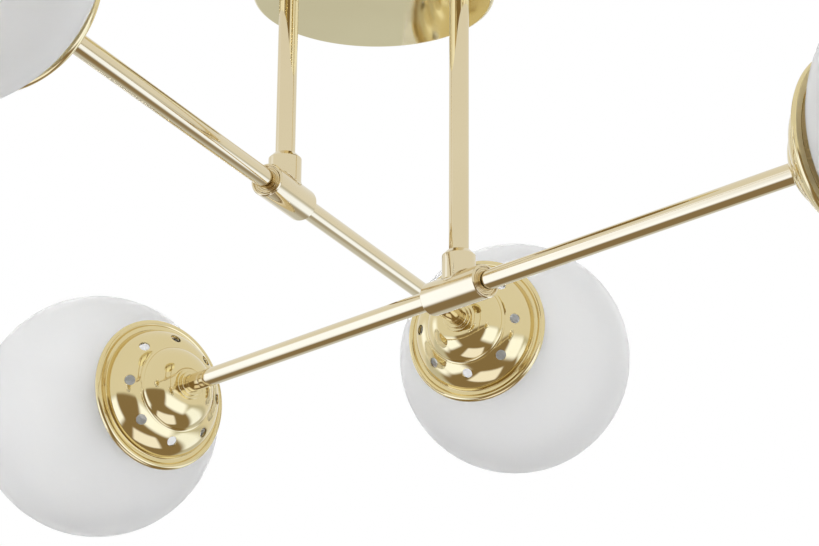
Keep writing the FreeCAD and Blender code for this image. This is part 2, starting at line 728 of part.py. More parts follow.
def sleeve_bushes(side):
    """Ring nuts round the arm tubes, sunk in the sleeve's ends."""
    pieces = []
    foot = "sleeve_length / 2 - bush_recess_depth"
    top = "sleeve_length / 2 - bush_sink"
    for index, end in enumerate(("rear", "front")):
        body = turned("%s_%s_bush" % (side, end), (
            ("bush_radius", foot, 0),
            ("bush_radius", top + " - bush_edge", 0),
            ("bush_radius - bush_edge", top, 0),
            ("tube_radius + fit", top, 0),
            ("tube_radius + fit", foot, 0),
        ))
        flip = FreeCAD.Rotation(FreeCAD.Vector(0, 1, 0), 180 * index)
        body.Placement = along(side).multiply(FreeCAD.Placement(FreeCAD.Vector(), flip))
        pieces.append(body)
    return group(side + "_sleeve_rings", pieces)


# One end of an arm, with Z from the cap's rim towards the tee

HOLDER_TOP = "cap_depth - cap_wall"
HOLDER_FOOT = HOLDER_TOP + " - holder_length"
SOCKET_TOP = HOLDER_FOOT + " + socket_depth"


def arm_tube(side, end):
    """Tube from the sleeve's stop through the cap into the lampholder."""
    name = "%s_%s_arm_tube" % (side, end)
    body = bored(name, "tube_radius", "tube_radius - tube_wall",
                 "cap_depth - cap_wall - tube_grip", "arm_reach - " + GLOBE_DROP + " - sleeve_stop - fit")
    return keep(body, name, arm_end(side, end))


def arm_cables(side):
    """Cables from the middle of the sleeve to both lampholders."""
    pieces = []
    for end in ("front", "rear"):
        body = solid_rod("%s_%s_cable" % (side, end), "cable_radius",
                         HOLDER_TOP + " - tube_grip", "arm_reach - " + GLOBE_DROP)
        body.Placement = arm_end(side, end)
        pieces.append(body)
    return group(side + "_arm_cables", pieces)


RING_INSIDE = "(neck_radius + lug_proud + ring_gap)"
RING_OUTSIDE = "(%s + ring_wall)" % RING_INSIDE
CAP_SKIRT = "(%s + ring_clearance + cap_wall)" % RING_OUTSIDE


def skirt_share(share, inwards=0):
    """Sum for a share of the skirt's radius, less a share of the sheet."""
    return "%s * %r - cap_wall * %r" % (CAP_SKIRT, share, inwards)


def depth_share(share, down=0):
    """Sum for a share of the cap's depth, less a share of the sheet."""
    return "cap_depth * %r - cap_wall * %r" % (share, down)


def bell_cap(side, end):
    """Spun bell with a double bead, a stepped dome and a ring of vent holes."""
    name = "%s_%s_cap" % (side, end)
    top = "holder_neck_radius + cap_margin"
    bead_foot = CAP_SKIRT + " + ledge_width"
    outer = [
        (bead_foot + " + bead_width", "0", 0),
        (bead_foot, "rim_height", HALF_CIRCLE_SHARE),
        (CAP_SKIRT, "rim_height", 0),
    ]
    inner = [
        (top, "cap_depth - cap_wall", 0),
    ]
    swell = CAP_DOME_SHARE
    for r, h, rise, inwards, down in reversed(CAP_LINE_SHARES):
        inner.append((skirt_share(r, inwards), depth_share(h, down), -swell))
        swell = rise
    for r, h, rise, inwards, down in CAP_LINE_SHARES:
        outer.append((skirt_share(r), depth_share(h), rise))
    outer.append((top, "cap_depth", CAP_DOME_SHARE))
    inner += [
        (CAP_SKIRT + " - cap_wall", "rim_height", -swell),
        (CAP_SKIRT + " - cap_wall", "rim_height - cap_wall", 0),
        (bead_foot + " - cap_wall", "rim_height - cap_wall", 0),
        (bead_foot, "0", 0),
    ]
    hole = [("tube_radius + fit", "cap_depth", 0), ("tube_radius + fit", "cap_depth - cap_wall", 0)]
    body = turned(name, outer + hole + inner)
    vent_circle = CAP_SKIRT + " * vent_circle_share"
    vent_height = "cap_depth * vent_height_share"
    vent = new_sketch(body, "XY_Plane", "vent", {
        "Base.x": vent_circle,
        "Base.z": vent_height,
        "Rotation.Angle": "vent_tilt",
    })
    vent.AttachmentOffset = FreeCAD.Placement(
        FreeCAD.Vector(value(vent_circle), 0, value(vent_height)),
        FreeCAD.Rotation(FreeCAD.Vector(0, 1, 0), value("vent_tilt")))
    circle(vent, "vent_radius")
    cut = pocket(body, vent, "vent_cut * 2", "vent_cut", middle=True)
    ring_pattern(body, cut, "vent_count", "vents")
    return keep(body, name, arm_end(side, end))


def cap_nut(side, end):
    """Stepped lock nut on top of the cap."""
    name = "%s_%s_cap_nut" % (side, end)
    body = turned(name, (
        ("boss_radius", "cap_depth", 0),
        ("boss_radius", "cap_depth + boss_foot_height", 0),
        ("boss_neck_radius", "cap_depth + boss_foot_height", 0),
        ("boss_neck_radius", "cap_depth + boss_height - bush_edge", 0),
        ("boss_neck_radius - bush_edge", "cap_depth + boss_height", 0),
        ("tube_radius + fit", "cap_depth + boss_height", 0),
        ("tube_radius + fit", "cap_depth", 0),
    ))
    return keep(body, name, arm_end(side, end))


def lug_ring(side, end):
    """Ring soldered into the cap, with three ledges that hold the globe's lugs."""
    name = "%s_%s_lug_ring" % (side, end)
    flange = "rim_height - cap_wall"
    foot = flange + " - ring_wall"
    body = turned(name, (
        (RING_INSIDE, foot, 0),
        (CAP_SKIRT + " + ring_lap", foot, 0),
        (CAP_SKIRT + " + ring_lap", flange, 0),
        (RING_OUTSIDE, flange, 0),
        (RING_OUTSIDE, foot + " + ring_height", 0),
        (RING_INSIDE, foot + " + ring_height", 0),
    ))
    ledge = new_sketch(body, "XZ_Plane", "ledge")
    rectangle(ledge, "neck_radius + ring_gap", RING_INSIDE + " + ring_wall / 2",
              "ledge_foot", "ledge_foot + ledge_height")
    feature = revolve(body, ledge, "ledge_turning", "ledge_angle")
    ring_pattern(body, feature, "lug_count", "ledges")
    return keep(body, name, arm_end(side, end))


def globe(side, end):
    """Blown globe with a short neck and three lugs."""
    name = "%s_%s_globe" % (side, end)
    neck_foot = "sqrt(globe_radius ^ 2 - neck_radius ^ 2) - " + GLOBE_DROP
    inside = "globe_radius - glass_wall"
    bore = "neck_radius - glass_wall"
    bore_foot = "sqrt((%s) ^ 2 - (%s) ^ 2)" % (inside, bore) + " - " + GLOBE_DROP
    body = new_body(name)
    profile = new_sketch(body, "XZ_Plane", "profile")
    outline(profile, (
        ("0", minus(GLOBE_DROP) + " - globe_radius", 0),
        ("globe_radius", minus(GLOBE_DROP), QUARTER_SHARE),
        ("neck_radius", neck_foot, arc_swell("globe_radius", "neck_radius")),
        ("neck_radius", "neck_height", 0),
        (bore, "neck_height", 0),
        (bore, bore_foot, 0),
        (inside, minus(GLOBE_DROP), -arc_swell(inside, bore)),
        ("0", minus(GLOBE_DROP) + " - (%s)" % inside, -QUARTER_SHARE),
    ))
    revolve(body, profile, "blowing")
    lug = new_sketch(body, "XZ_Plane", "lug")
    rectangle(lug, "neck_radius - glass_wall / 2", "neck_radius + lug_proud",
              "ledge_foot + ledge_height + seat_gap", "ledge_foot + ledge_height + seat_gap + lug_height")
    feature = revolve(body, lug, "lug_turning", "lug_angle")
    ring_pattern(body, feature, "lug_count", "lugs")
    return keep(body, name, arm_end(side, end))


def lampholder(side, end):
    """Ceramic lampholder on the arm tube's end, with a blind socket."""
    name = "%s_%s_lampholder" % (side, end)
    body = turned(name, (
        ("socket_radius", HOLDER_FOOT, 0),
        ("holder_radius - holder_edge", HOLDER_FOOT, 0),
        ("holder_radius", HOLDER_FOOT + " + holder_edge", QUARTER_SHARE),
        ("holder_radius", HOLDER_TOP + " - holder_neck_height - holder_edge", 0),
        ("holder_radius - holder_edge", HOLDER_TOP + " - holder_neck_height", QUARTER_SHARE),
        ("holder_neck_radius", HOLDER_TOP + " - holder_neck_height", 0),
        ("holder_neck_radius", HOLDER_TOP, 0),
        ("tube_radius + fit", HOLDER_TOP, 0),
        ("tube_radius + fit", HOLDER_TOP + " - tube_grip", 0),
        ("wire_hole_radius", HOLDER_TOP + " - tube_grip", 0),
        ("wire_hole_radius", SOCKET_TOP, 0),
        ("socket_radius", SOCKET_TOP, 0),
    ))
    return keep(body, name, arm_end(side, end))


def socket_contacts(side, end):
    """Threaded shell and centre contact of a lampholder."""
    name = "%s_%s_socket_contacts" % (side, end)
    shell = bored(name + "_shell", "shell_radius", "shell_radius - shell_wall",
                  HOLDER_FOOT + " + shell_sink", SOCKET_TOP)
    contact = bored(name + "_centre", "contact_radius", "wire_hole_radius / 2",
                    SOCKET_TOP + " - contact_height", SOCKET_TOP)
    for piece in (shell, contact):
        piece.Placement = arm_end(side, end)
    return group(name, [shell, contact])


LAMP_TOP = SOCKET_TOP + " - contact_height"
LAMP_CAP_FOOT = LAMP_TOP + " - lamp_tip_height - lamp_cap_length"


def lamp_cap(side, end):
    """Screw cap of the lamp with its contact tip."""
    name = "%s_%s_lamp_cap" % (side, end)
    inside = "lamp_cap_radius - lamp_cap_wall"
    body = turned(name, (
        ("lamp_cap_radius", LAMP_CAP_FOOT, 0),
        ("lamp_cap_radius", LAMP_TOP + " - lamp_tip_height - lamp_tip_height", 0),
        ("lamp_tip_radius", LAMP_TOP + " - lamp_tip_height", 0),
        ("lamp_tip_radius", LAMP_TOP, 0),
        ("0", LAMP_TOP, 0),
        ("0", LAMP_TOP + " - lamp_tip_height - lamp_cap_wall", 0),
        ("lamp_tip_radius", LAMP_TOP + " - lamp_tip_height - lamp_cap_wall", 0),
        (inside, LAMP_TOP + " - lamp_tip_height - lamp_tip_height - lamp_cap_wall", 0),
        (inside, LAMP_CAP_FOOT, 0),
    ))
    return keep(body, name, arm_end(side, end))


def lamp_glass(side, end):
    """Thin ball-shaped glass of the lamp, open where its cap closes it."""
    name = "%s_%s_lamp_glass" % (side, end)
    foot = LAMP_CAP_FOOT + " - lamp_length"
    middle = foot + " + lamp_radius"
    inside = "(lamp_radius - lamp_wall)"
    waist_swell = arc_swell("1", "lamp_waist_share")
    body = turned(name, (
        ("0", foot, 0),
        ("lamp_radius", middle, QUARTER_SHARE),
        ("lamp_radius * lamp_waist_share", middle + " + lamp_radius * lamp_rise_share", waist_swell),
        ("lamp_neck_radius", LAMP_CAP_FOOT, LAMP_NECK_SHARE),
        ("lamp_neck_radius - lamp_wall", LAMP_CAP_FOOT, 0),
        (inside + " * lamp_waist_share", middle + " + %s * lamp_rise_share" % inside, -LAMP_NECK_SHARE),
        (inside, middle, -waist_swell),
        ("0", foot + " + lamp_wall", -QUARTER_SHARE),
    ))
    return keep(body, name, arm_end(side, end))


ceiling_strap()
ceiling_cup()
side_screws()
earth_screw()
terminal_block()
terminal_screws()
rod_nipples()
top_washers()
top_nuts()
swivel_nuts()
rod_cables()
for side in ("left", "right"):
    down_rod(side)
    tee_collar(side)
    swivel_washer(side)
    arm_sleeve(side)
    sleeve_bushes(side)
    arm_cables(side)
    for end in ("front", "rear"):
        arm_tube(side, end)
        bell_cap(side, end)
        cap_nut(side, end)
        lug_ring(side, end)
        lampholder(side, end)
        socket_contacts(side, end)
        lamp_cap(side, end)
        lamp_glass(side, end)
        globe(side, end)

doc.recompute()
for item in doc.Objects:
    if "Invalid" in item.State or "Error" in item.State:
        raise ValueError("%s failed: %s" % (item.Label, item.State))
for node in nodes:
    if node.Shape.isNull() or not node.Shape.isValid():
        raise ValueError("%s has no valid solid" % node.Label)

os.makedirs("parts", exist_ok=True)
for node in nodes:
    node.Shape.exportStep("parts/%s.step" % node.Label)
    solids = len(node.Shape.Solids)
    print("%-34s %d solid(s) %10.2f mm3" % (node.Label, solids, node.Shape.Volume))
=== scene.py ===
import logging
import math
from dataclasses import dataclass
from enum import Enum
from typing import Iterator, Sequence

import bpy
from mathutils import Matrix, Quaternion, Vector


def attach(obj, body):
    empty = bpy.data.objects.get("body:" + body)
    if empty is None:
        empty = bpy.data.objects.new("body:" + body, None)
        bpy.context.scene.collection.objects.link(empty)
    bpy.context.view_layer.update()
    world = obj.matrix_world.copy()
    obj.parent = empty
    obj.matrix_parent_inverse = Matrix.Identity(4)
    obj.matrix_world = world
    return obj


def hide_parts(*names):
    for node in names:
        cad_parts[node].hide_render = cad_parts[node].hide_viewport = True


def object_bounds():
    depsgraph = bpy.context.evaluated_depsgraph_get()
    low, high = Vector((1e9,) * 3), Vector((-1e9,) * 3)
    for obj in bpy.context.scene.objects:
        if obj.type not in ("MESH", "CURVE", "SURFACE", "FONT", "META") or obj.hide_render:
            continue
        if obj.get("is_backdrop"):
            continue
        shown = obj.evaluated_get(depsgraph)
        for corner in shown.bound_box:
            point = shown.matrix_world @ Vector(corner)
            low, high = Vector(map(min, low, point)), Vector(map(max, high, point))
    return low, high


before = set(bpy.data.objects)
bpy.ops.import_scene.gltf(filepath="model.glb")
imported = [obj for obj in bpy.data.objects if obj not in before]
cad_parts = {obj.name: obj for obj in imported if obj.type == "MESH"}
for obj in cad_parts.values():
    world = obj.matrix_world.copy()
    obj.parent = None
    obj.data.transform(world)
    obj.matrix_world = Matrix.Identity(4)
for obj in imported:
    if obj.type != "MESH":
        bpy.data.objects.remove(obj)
CAD_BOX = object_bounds()

# A brass ceiling light: two down rods hang from a round cup, a cross arm swivels on
# the end of each rod, and each end of an arm carries a vented bell cap and an opal
# globe. Sizes are written in millimetres and pass through MM once, where a mesh is
# made. The frame is that of the solids: origin at the ceiling, +Z up, +Y away from
# the viewer.

MM = 0.001
OWN_PLACE = "own_place"
BRASS, OPAL = "polished_brass", "opal_glass"
UP = Vector((0, 0, 1))
TINY = 1e-6
NEAR = 1e-4
RING_STEP = math.radians(5)
LOG = logging.getLogger("ceiling_light")

Span = tuple[float, float]
Colour = tuple[float, float, float]
Piece = bpy.types.Object
Socket = bpy.types.NodeSocket


class Side(Enum):
    """The two down rods and what hangs on them."""

    LEFT = "left"
    RIGHT = "right"


class End(Enum):
    """The two ends of a cross arm."""

    FRONT = "front"
    REAR = "rear"


def end_name(side: Side, end: End) -> str:
    """Name of one end of an arm."""
    return "%s_%s" % (side.value, end.value)


# Drawing and turning.


def bow(angle: float) -> float:
    """Swell of an arc that turns by an angle, as a share of its chord."""
    return math.tan(angle / 4) / 2


def add_object(name: str, data: bpy.types.ID) -> Piece:
    """Put a new object in the scene."""
    item = bpy.data.objects.new(name, data)
    bpy.context.scene.collection.objects.link(item)
    return item


class Stretch:
    """One straight or bowed stretch of a profile in the plane of radius and height."""

    def __init__(self, start: Vector, end: Vector, swell: float = 0.0) -> None:
        """Work out the arc.

        Args:
            start: First point, radius and height in millimetres.
            end: Last point.
            swell: Rise of the bow to the right of its chord, as a share of the chord.
        """
        self.start = start
        self.end = end
        self.chord = (end - start).length
        self.angle = 4 * math.atan(2 * swell)
        direction = (end - start) / self.chord
        self.first_tangent = self._turned(direction, -self.angle / 2)
        self.centre = None
        self.length = self.chord
        if self.angle:
            left = Vector((-direction.y, direction.x))
            self.centre = (start + end) / 2 + left * (self.chord / 2 / math.tan(self.angle / 2))
            self.length = abs(self.angle) * (start - self.centre).length

    @staticmethod
    def _turned(vector: Vector, angle: float) -> Vector:
        """Turn a vector of the drawing plane anticlockwise by an angle."""
        c, s = math.cos(angle), math.sin(angle)
        return Vector((vector.x * c - vector.y * s, vector.x * s + vector.y * c))

    def place(self, share: float) -> Vector:
        """Point at a share of the stretch."""
        if self.centre is None:
            return self.start.lerp(self.end, share)
        return self.centre + self._turned(self.start - self.centre, self.angle * share)

    def tangent(self, share: float) -> Vector:
        """Direction of travel at a share of the stretch."""
        return self._turned(self.first_tangent, self.angle * share)

    def nearest(self, point: Vector) -> float:
        """Share of the stretch that lies nearest to a point."""
        low, high = 0.0, 1.0
        while high - low > TINY:
            third = (high - low) / 3
            before, after = self.place(low + third), self.place(high - third)
            if (before - point).length < (after - point).length:
                high -= third
            else:
                low += third
        return (low + high) / 2


@dataclass
class Station:
    """One ring of a turned form, with the directions in which the profile arrives and leaves."""

    place: Vector
    arriving: Vector
    leaving: Vector


class Profile:
    """Closed line of a turned form, drawn anticlockwise round the material."""

    corner_steps = 5
    most_cut = 0.45

    def __init__(self, *corners: Sequence[float]) -> None:
        """Draw the line through its corners.

        Args:
            *corners: Radius and height of each corner in millimetres. Where they aren't nought,
                the bow of the stretch that leads there follows, as a share of its chord, and
                then the length that the rounding of the corner takes off both stretches.
        """
        full = [(*corner, 0.0, 0.0)[:4] for corner in corners]
        following = full[1:] + full[:1]
        self.cuts = [corner[3] for corner in following]
        self.stretches = [Stretch(Vector(corner[:2]), Vector(after[:2]), after[2])
                          for corner, after in zip(full, following)]

    def _rounding(self, corner: Station, end: Vector, arrive: Vector) -> Iterator[Station]:
        """Stations of the curve that rounds a corner between two cut-back ends."""
        start, leave = corner.place, corner.leaving
        cross = leave.x * arrive.y - leave.y * arrive.x
        gap = end - start
        reach = gap.length / 2
        if abs(cross) > NEAR:
            reach = (gap.x * arrive.y - gap.y * arrive.x) / cross
        knee = start + leave * reach
        for step in range(1, self.corner_steps):
            share = step / self.corner_steps
            place = start.lerp(knee, share).lerp(knee.lerp(end, share), share)
            direction = (knee - start).lerp(end - knee, share).normalized()
            yield Station(place, direction, direction)

    def _cut_share(self, index: int, stretch: Stretch) -> float:
        """Share of a stretch that the rounding of a corner takes."""
        return min(self.cuts[index] / stretch.length, self.most_cut)

    def stations(self, step: float = RING_STEP) -> list[Station]:
        """Rings of the closed form.

        Args:
            step: Largest angle between two rings of a bow.

        Returns:
            The rings in order; the last one is followed by the first.
        """
        rings: list[Station] = []
        for index, stretch in enumerate(self.stretches):
            first, last = self._cut_share(index - 1, stretch), 1 - self._cut_share(index, stretch)
            steps = max(1, math.ceil(abs(stretch.angle) * (last - first) / step))
            joined = bool(rings) and not self.cuts[index - 1]
            if joined:
                rings[-1].leaving = stretch.tangent(0)
            for k in range(joined, steps + 1):
                share = first + (last - first) * k / steps
                tangent = stretch.tangent(share)
                rings.append(Station(stretch.place(share), tangent, tangent))
            if self.cuts[index]:
                following = self.stretches[(index + 1) % len(self.stretches)]
                share = self._cut_share(index, following)
                corner = rings[-1]
                rings.extend(self._rounding(corner, following.place(share), following.tangent(share)))
        if not self.cuts[-1]:
            rings[0].arriving = rings.pop().arriving
        return rings


class MeshWork:
    """Vertices, faces and corner normals of one piece, in millimetres."""

    def __init__(self) -> None:
        """Start an empty mesh."""
        self.points: list[Vector] = []
        self.faces: list[tuple[int, ...]] = []
        self.normals: list[Vector] = []

    def point(self, place: Vector) -> int:
        """Add a vertex and return its index."""
        self.points.append(place)
        return len(self.points) - 1

    def face(self, corners: Sequence[int], normals: Sequence[Vector]) -> None:
        """Add a face that looks the way its normals do.

        Args:
            corners: Vertex indices in order; one that repeats is left out.
            normals: One normal for each corner.
        """
        kept = [k for k in range(len(corners)) if corners[k] != corners[k - 1]]
        if len(kept) < 3:
            return
        ring = [corners[k] for k in kept]
        looks = [normals[k] for k in kept]
        origin = self.points[ring[0]]
        flat = Vector()
        for k in range(1, len(ring) - 1):
            flat += (self.points[ring[k]] - origin).cross(self.points[ring[k + 1]] - origin)
        if flat.dot(sum(looks, Vector())) < 0:
            ring.reverse()
            looks.reverse()
        self.faces.append(tuple(ring))
        self.normals.extend(looks)

    def piece(self, name: str, placement: Matrix) -> Piece:
        """Make the object.

        Args:
            name: Name of the piece.
            placement: Where it stands, in metres.

        Returns:
            The new object, smooth where its normals say so.
        """
        mesh = bpy.data.meshes.new(name)
        turn = placement.to_3x3()
        mesh.from_pydata([tuple(placement @ (point * MM)) for point in self.points], [], self.faces)
        mesh.polygons.foreach_set("use_smooth", [True] * len(mesh.polygons))
        mesh.normals_split_custom_set([tuple((turn @ normal).normalized()) for normal in self.normals])
        own = mesh.attributes.new(OWN_PLACE, "FLOAT_VECTOR", "POINT")
        own.data.foreach_set("vector", [part * MM for point in self.points for part in point])
        return add_object(name, mesh)


class Lathe(MeshWork):
    """Turns a profile about its Z axis."""

    def __init__(self, segments: int) -> None:
        """Choose how many facets go round."""
        super().__init__()
        self.segments = segments
        self.angles = [2 * math.pi * k / segments for k in range(segments + 1)]

    def at_angle(self, place: Vector, angle: float) -> Vector:
        """Point or direction of the drawing plane, turned round the axis by an angle."""
        return Vector((place.x * math.cos(angle), place.x * math.sin(angle), place.y))

    @staticmethod
    def outward(tangent: Vector) -> Vector:
        """Normal to the right of a direction of travel."""
        return Vector((tangent.y, -tangent.x))

    def ring(self, place: Vector) -> list[int]:
        """Vertices of one ring, or one vertex repeated where it lies on the axis."""
        if place.x < TINY:
            return [self.point(Vector((0, 0, place.y)))] * self.segments
        return [self.point(self.at_angle(place, angle)) for angle in self.angles[:-1]]

    def band(self, near: list[int], far: list[int], near_look: Vector, far_look: Vector) -> None:
        """Faces between two rings, with the looks of their drawn normals."""
        for k in range(self.segments):
            after = (k + 1) % self.segments
            low, high = self.angles[k:k + 2]
            self.face((near[k], near[after], far[after], far[k]), (
                self.at_angle(near_look, low), self.at_angle(near_look, high),
                self.at_angle(far_look, high), self.at_angle(far_look, low)))

    def turn(self, stations: Sequence[Station], left_open: Sequence[int] = ()) -> list[list[int]]:
        """Spin the stations.

        Args:
            stations: Rings in order; the last is followed by the first.
            left_open: Indices of rings after which no faces are made.

        Returns:
            The vertex indices of each ring.
        """
        rings = [self.ring(station.place) for station in stations]
        for index, here in enumerate(stations):
            after = (index + 1) % len(stations)
            there = stations[after]
            if index in left_open or (here.place.x < TINY and there.place.x < TINY):
                continue
            looks = self.outward(here.leaving), self.outward(there.arriving)
            self.band(rings[index], rings[after], *looks)
        return rings


# Finishes.


class NodeBoard:
    """Lays out shader nodes in the tree of a material or a world."""

    def __init__(self, owner: bpy.types.ID) -> None:
        """Empty the owner's node tree."""
        owner.use_nodes = True
        self.tree = owner.node_tree
        self.tree.nodes.clear()

    def join(self, value: object, socket: Socket) -> None:
        """Link an output to an input, or set a plain value or a colour there."""
        if isinstance(value, Socket):
            self.tree.links.new(value, socket)
        else:
            socket.default_value = (*value, 1) if socket.type == "RGBA" else value

    def feed(self, node: bpy.types.Node, **values: object) -> None:
        """Join values to a node's inputs, which are named with underscores for spaces."""
        for name, value in values.items():
            self.join(value, node.inputs[name.replace("_", " ")])

    def node(self, kind: str, **values: object) -> bpy.types.Node:
        """Add a node of a kind and feed its inputs."""
        node = self.tree.nodes.new("ShaderNode" + kind)
        self.feed(node, **values)
        return node


class NodeSheet(NodeBoard):
    """Lays out the shader nodes of one material."""

    gloss_range = (0.3, 0.7)
    colour_range = (0.35, 0.65)

    def __init__(self, name: str, carried: bool) -> None:
        """Make an empty material with one surface shader.

        Args:
            name: Name of the material.
            carried: Whether it is for carried solids, which have no places of their own axis.
        """
        self.material = bpy.data.materials.new(name)
        super().__init__(self.material)
        self.shader = self.node("BsdfPrincipled")
        self.node("OutputMaterial", Surface=self.shader.outputs[0])
        if carried:
            self.place = self.node("TexCoord").outputs["Object"]
        else:
            places = self.node("Attribute")
            places.attribute_name = OWN_PLACE
            self.place = places.outputs["Vector"]

    def noise(self, scale: float, detail: float, stretch: Sequence[float] = (1, 1, 1)) -> Socket:
        """Cloudy pattern.

        Args:
            scale: Features per metre.
            detail: Octaves of finer noise.
            stretch: Scale along each axis of the piece.

        Returns:
            Its value socket.
        """
        mapping = self.node("Mapping", Vector=self.place, Scale=stretch)
        cloud = self.node("TexNoise", Vector=mapping.outputs["Vector"], Scale=scale, Detail=detail)
        return cloud.outputs["Fac"]

    def rings(self, scale: float) -> Socket:
        """Fine turning marks round the Z axis of the piece."""
        wave = self.node("TexWave", Vector=self.place, Scale=scale, Distortion=0.4, Detail=2.0)
        wave.wave_type = "RINGS"
        wave.rings_direction = "Z"
        return wave.outputs["Fac"]

    def span(self, source: Socket, low: float, high: float) -> Socket:
        """Spread a pattern between two values."""
        least, most = self.gloss_range
        return self.node("MapRange", Value=source, From_Min=least, From_Max=most,
                         To_Min=low, To_Max=high).outputs["Result"]

    def blend(self, source: Socket, *colours: Colour) -> Socket:
        """Colour between two colours by a pattern."""
        ramp = self.node("ValToRGB", Fac=source)
        for stop, place, colour in zip(ramp.color_ramp.elements, self.colour_range, colours):
            stop.position = place
            stop.color = (*colour, 1)
        return ramp.outputs["Color"]

    def bump(self, source: Socket, height: float, strength: float) -> None:
        """Raise the surface by a pattern, chained after any earlier bump.

        Args:
            source: The pattern.
            height: Full height in metres.
            strength: Share of the full effect.
        """
        raised = self.node("Bump", Distance=height, Strength=strength, Height=source)
        normal = self.shader.inputs["Normal"]
        if normal.is_linked:
            self.feed(raised, Normal=normal.links[0].from_socket)
        self.join(raised.outputs["Normal"], normal)


@dataclass(frozen=True)
class Finish:
    """Base of the finishes: clouded colour, uneven gloss and a fine relief.

    Clouds, streaks and each relief begin with the scale, octaves and stretch of a noise.
    """

    name: str
    light: Colour
    dark: Colour
    gloss: Span
    carried: bool = True

    sockets = {}
    clouds = streaks = (100, 3)
    relief = ()

    def grain(self, sheet: NodeSheet) -> None:
        """Raise the fine relief."""
        for noise, height, strength in self.relief:
            sheet.bump(sheet.noise(*noise), height, strength)

    def make(self) -> bpy.types.Material:
        """Build the material."""
        sheet = NodeSheet(self.name, self.carried)
        colour = sheet.blend(sheet.noise(*self.clouds), self.light, self.dark)
        gloss = sheet.span(sheet.noise(*self.streaks), *self.gloss)
        sheet.feed(sheet.shader, Base_Color=colour, Roughness=gloss, **self.sockets)
        self.grain(sheet)
        return sheet.material


@dataclass(frozen=True)
class PolishedBrass(Finish):
    """Polished and lacquered brass with faint clouding and hand marks."""

    gloss: Span = (0.035, 0.085)
    carried: bool = False
    ripple: float = 0.000004
    marks: float = 0.0

    sockets = {"Metallic": 1.0, "Coat_Weight": 0.25, "Coat_Roughness": 0.04}
    clouds, streaks, waves = (14, 4), (55, 5), (180, 2)
    wave_strength, mark_height, mark_strength = 0.5, 0.000002, 0.25

    def grain(self, sheet: NodeSheet) -> None:
        """Raise a ripple, and turning marks where there are any."""
        sheet.bump(sheet.noise(*self.waves), self.ripple, self.wave_strength)
        if self.marks:
            sheet.bump(sheet.rings(self.marks), self.mark_height, self.mark_strength)


@dataclass(frozen=True)
class OpalGlass(Finish):
    """Blown opal glass with a satin skin and slightly uneven whiteness."""

    light: Colour = (0.975, 0.975, 0.97)
    dark: Colour = (0.955, 0.955, 0.955)
    gloss: Span = (0.68, 0.78)
    carried: bool = False

    sockets = {"IOR": 1.3, "Specular_IOR_Level": 0.2, "Transmission_Weight": 0.58,
               "Subsurface_Weight": 0.4, "Subsurface_Scale": 0.02,
               "Subsurface_Radius": (1.0, 0.97, 0.92)}
    clouds, streaks = (9, 2), (40, 3)
    relief = ((16, 2), 0.00012, 0.25), ((2600, 2), 0.000006, 0.3)


@dataclass(frozen=True)
class FrostedGlass(Finish):
    """Frosted lamp glass that lets light through."""

    light: Colour = (0.93, 0.93, 0.91)
    dark: Colour = (0.88, 0.88, 0.87)
    gloss: Span = (0.42, 0.6)

    sockets = {"IOR": 1.48, "Transmission_Weight": 0.55}
    clouds, streaks = (60, 3), (900, 3)
    relief = (((3500, 2), 0.000008, 0.5),)


@dataclass(frozen=True)
class PlatedSteel(Finish):
    """Rolled and zinc-plated steel with a faint spangle and rolling lines."""

    light: Colour = (0.62, 0.63, 0.65)
    dark: Colour = (0.47, 0.48, 0.50)
    gloss: Span = (0.24, 0.42)

    sockets = {"Metallic": 1.0}
    clouds, streaks = (160, 4), (90, 5, (8, 1, 8))
    relief = (((420, 4, (6, 1, 6)), 0.00002, 0.35),)


@dataclass(frozen=True)
class MouldedPlastic(Finish):
    """Moulded plastic with a fine spark-eroded grain."""

    gloss: Span = (0.38, 0.5)

    sockets = {"IOR": 1.5}
    clouds, streaks = (70, 3), (300, 3)
    relief = (((2600, 3), 0.00001, 0.5),)


@dataclass(frozen=True)
class GlazedCeramic(Finish):
    """White glazed ceramic with small pin marks."""

    light: Colour = (0.86, 0.85, 0.82)
    dark: Colour = (0.80, 0.79, 0.75)
    gloss: Span = (0.16, 0.3)

    sockets = {"IOR": 1.55, "Coat_Weight": 0.6, "Coat_Roughness": 0.08}
    clouds, streaks = (45, 5), (150, 3)
    relief = (((500, 3), 0.00003, 0.3),)


@dataclass(frozen=True)
class VulcanFibre(Finish):
    """Pressed red fibre with short flecks."""

    light: Colour = (0.33, 0.07, 0.05)
    dark: Colour = (0.22, 0.04, 0.03)
    gloss: Span = (0.6, 0.8)

    sockets = {"IOR": 1.45}
    clouds, streaks = (900, 5), (400, 3)
    relief = (((1800, 4), 0.00002, 0.6),)


@dataclass(frozen=True)
class FloorPaint(Finish):
    """Pale matt paint."""

    light: Colour = (0.87, 0.87, 0.87)
    dark: Colour = (0.85, 0.85, 0.85)
    gloss: Span = (0.8, 0.9)

    sockets = {"IOR": 1.4}
    clouds, streaks = (3, 2), (20, 2)


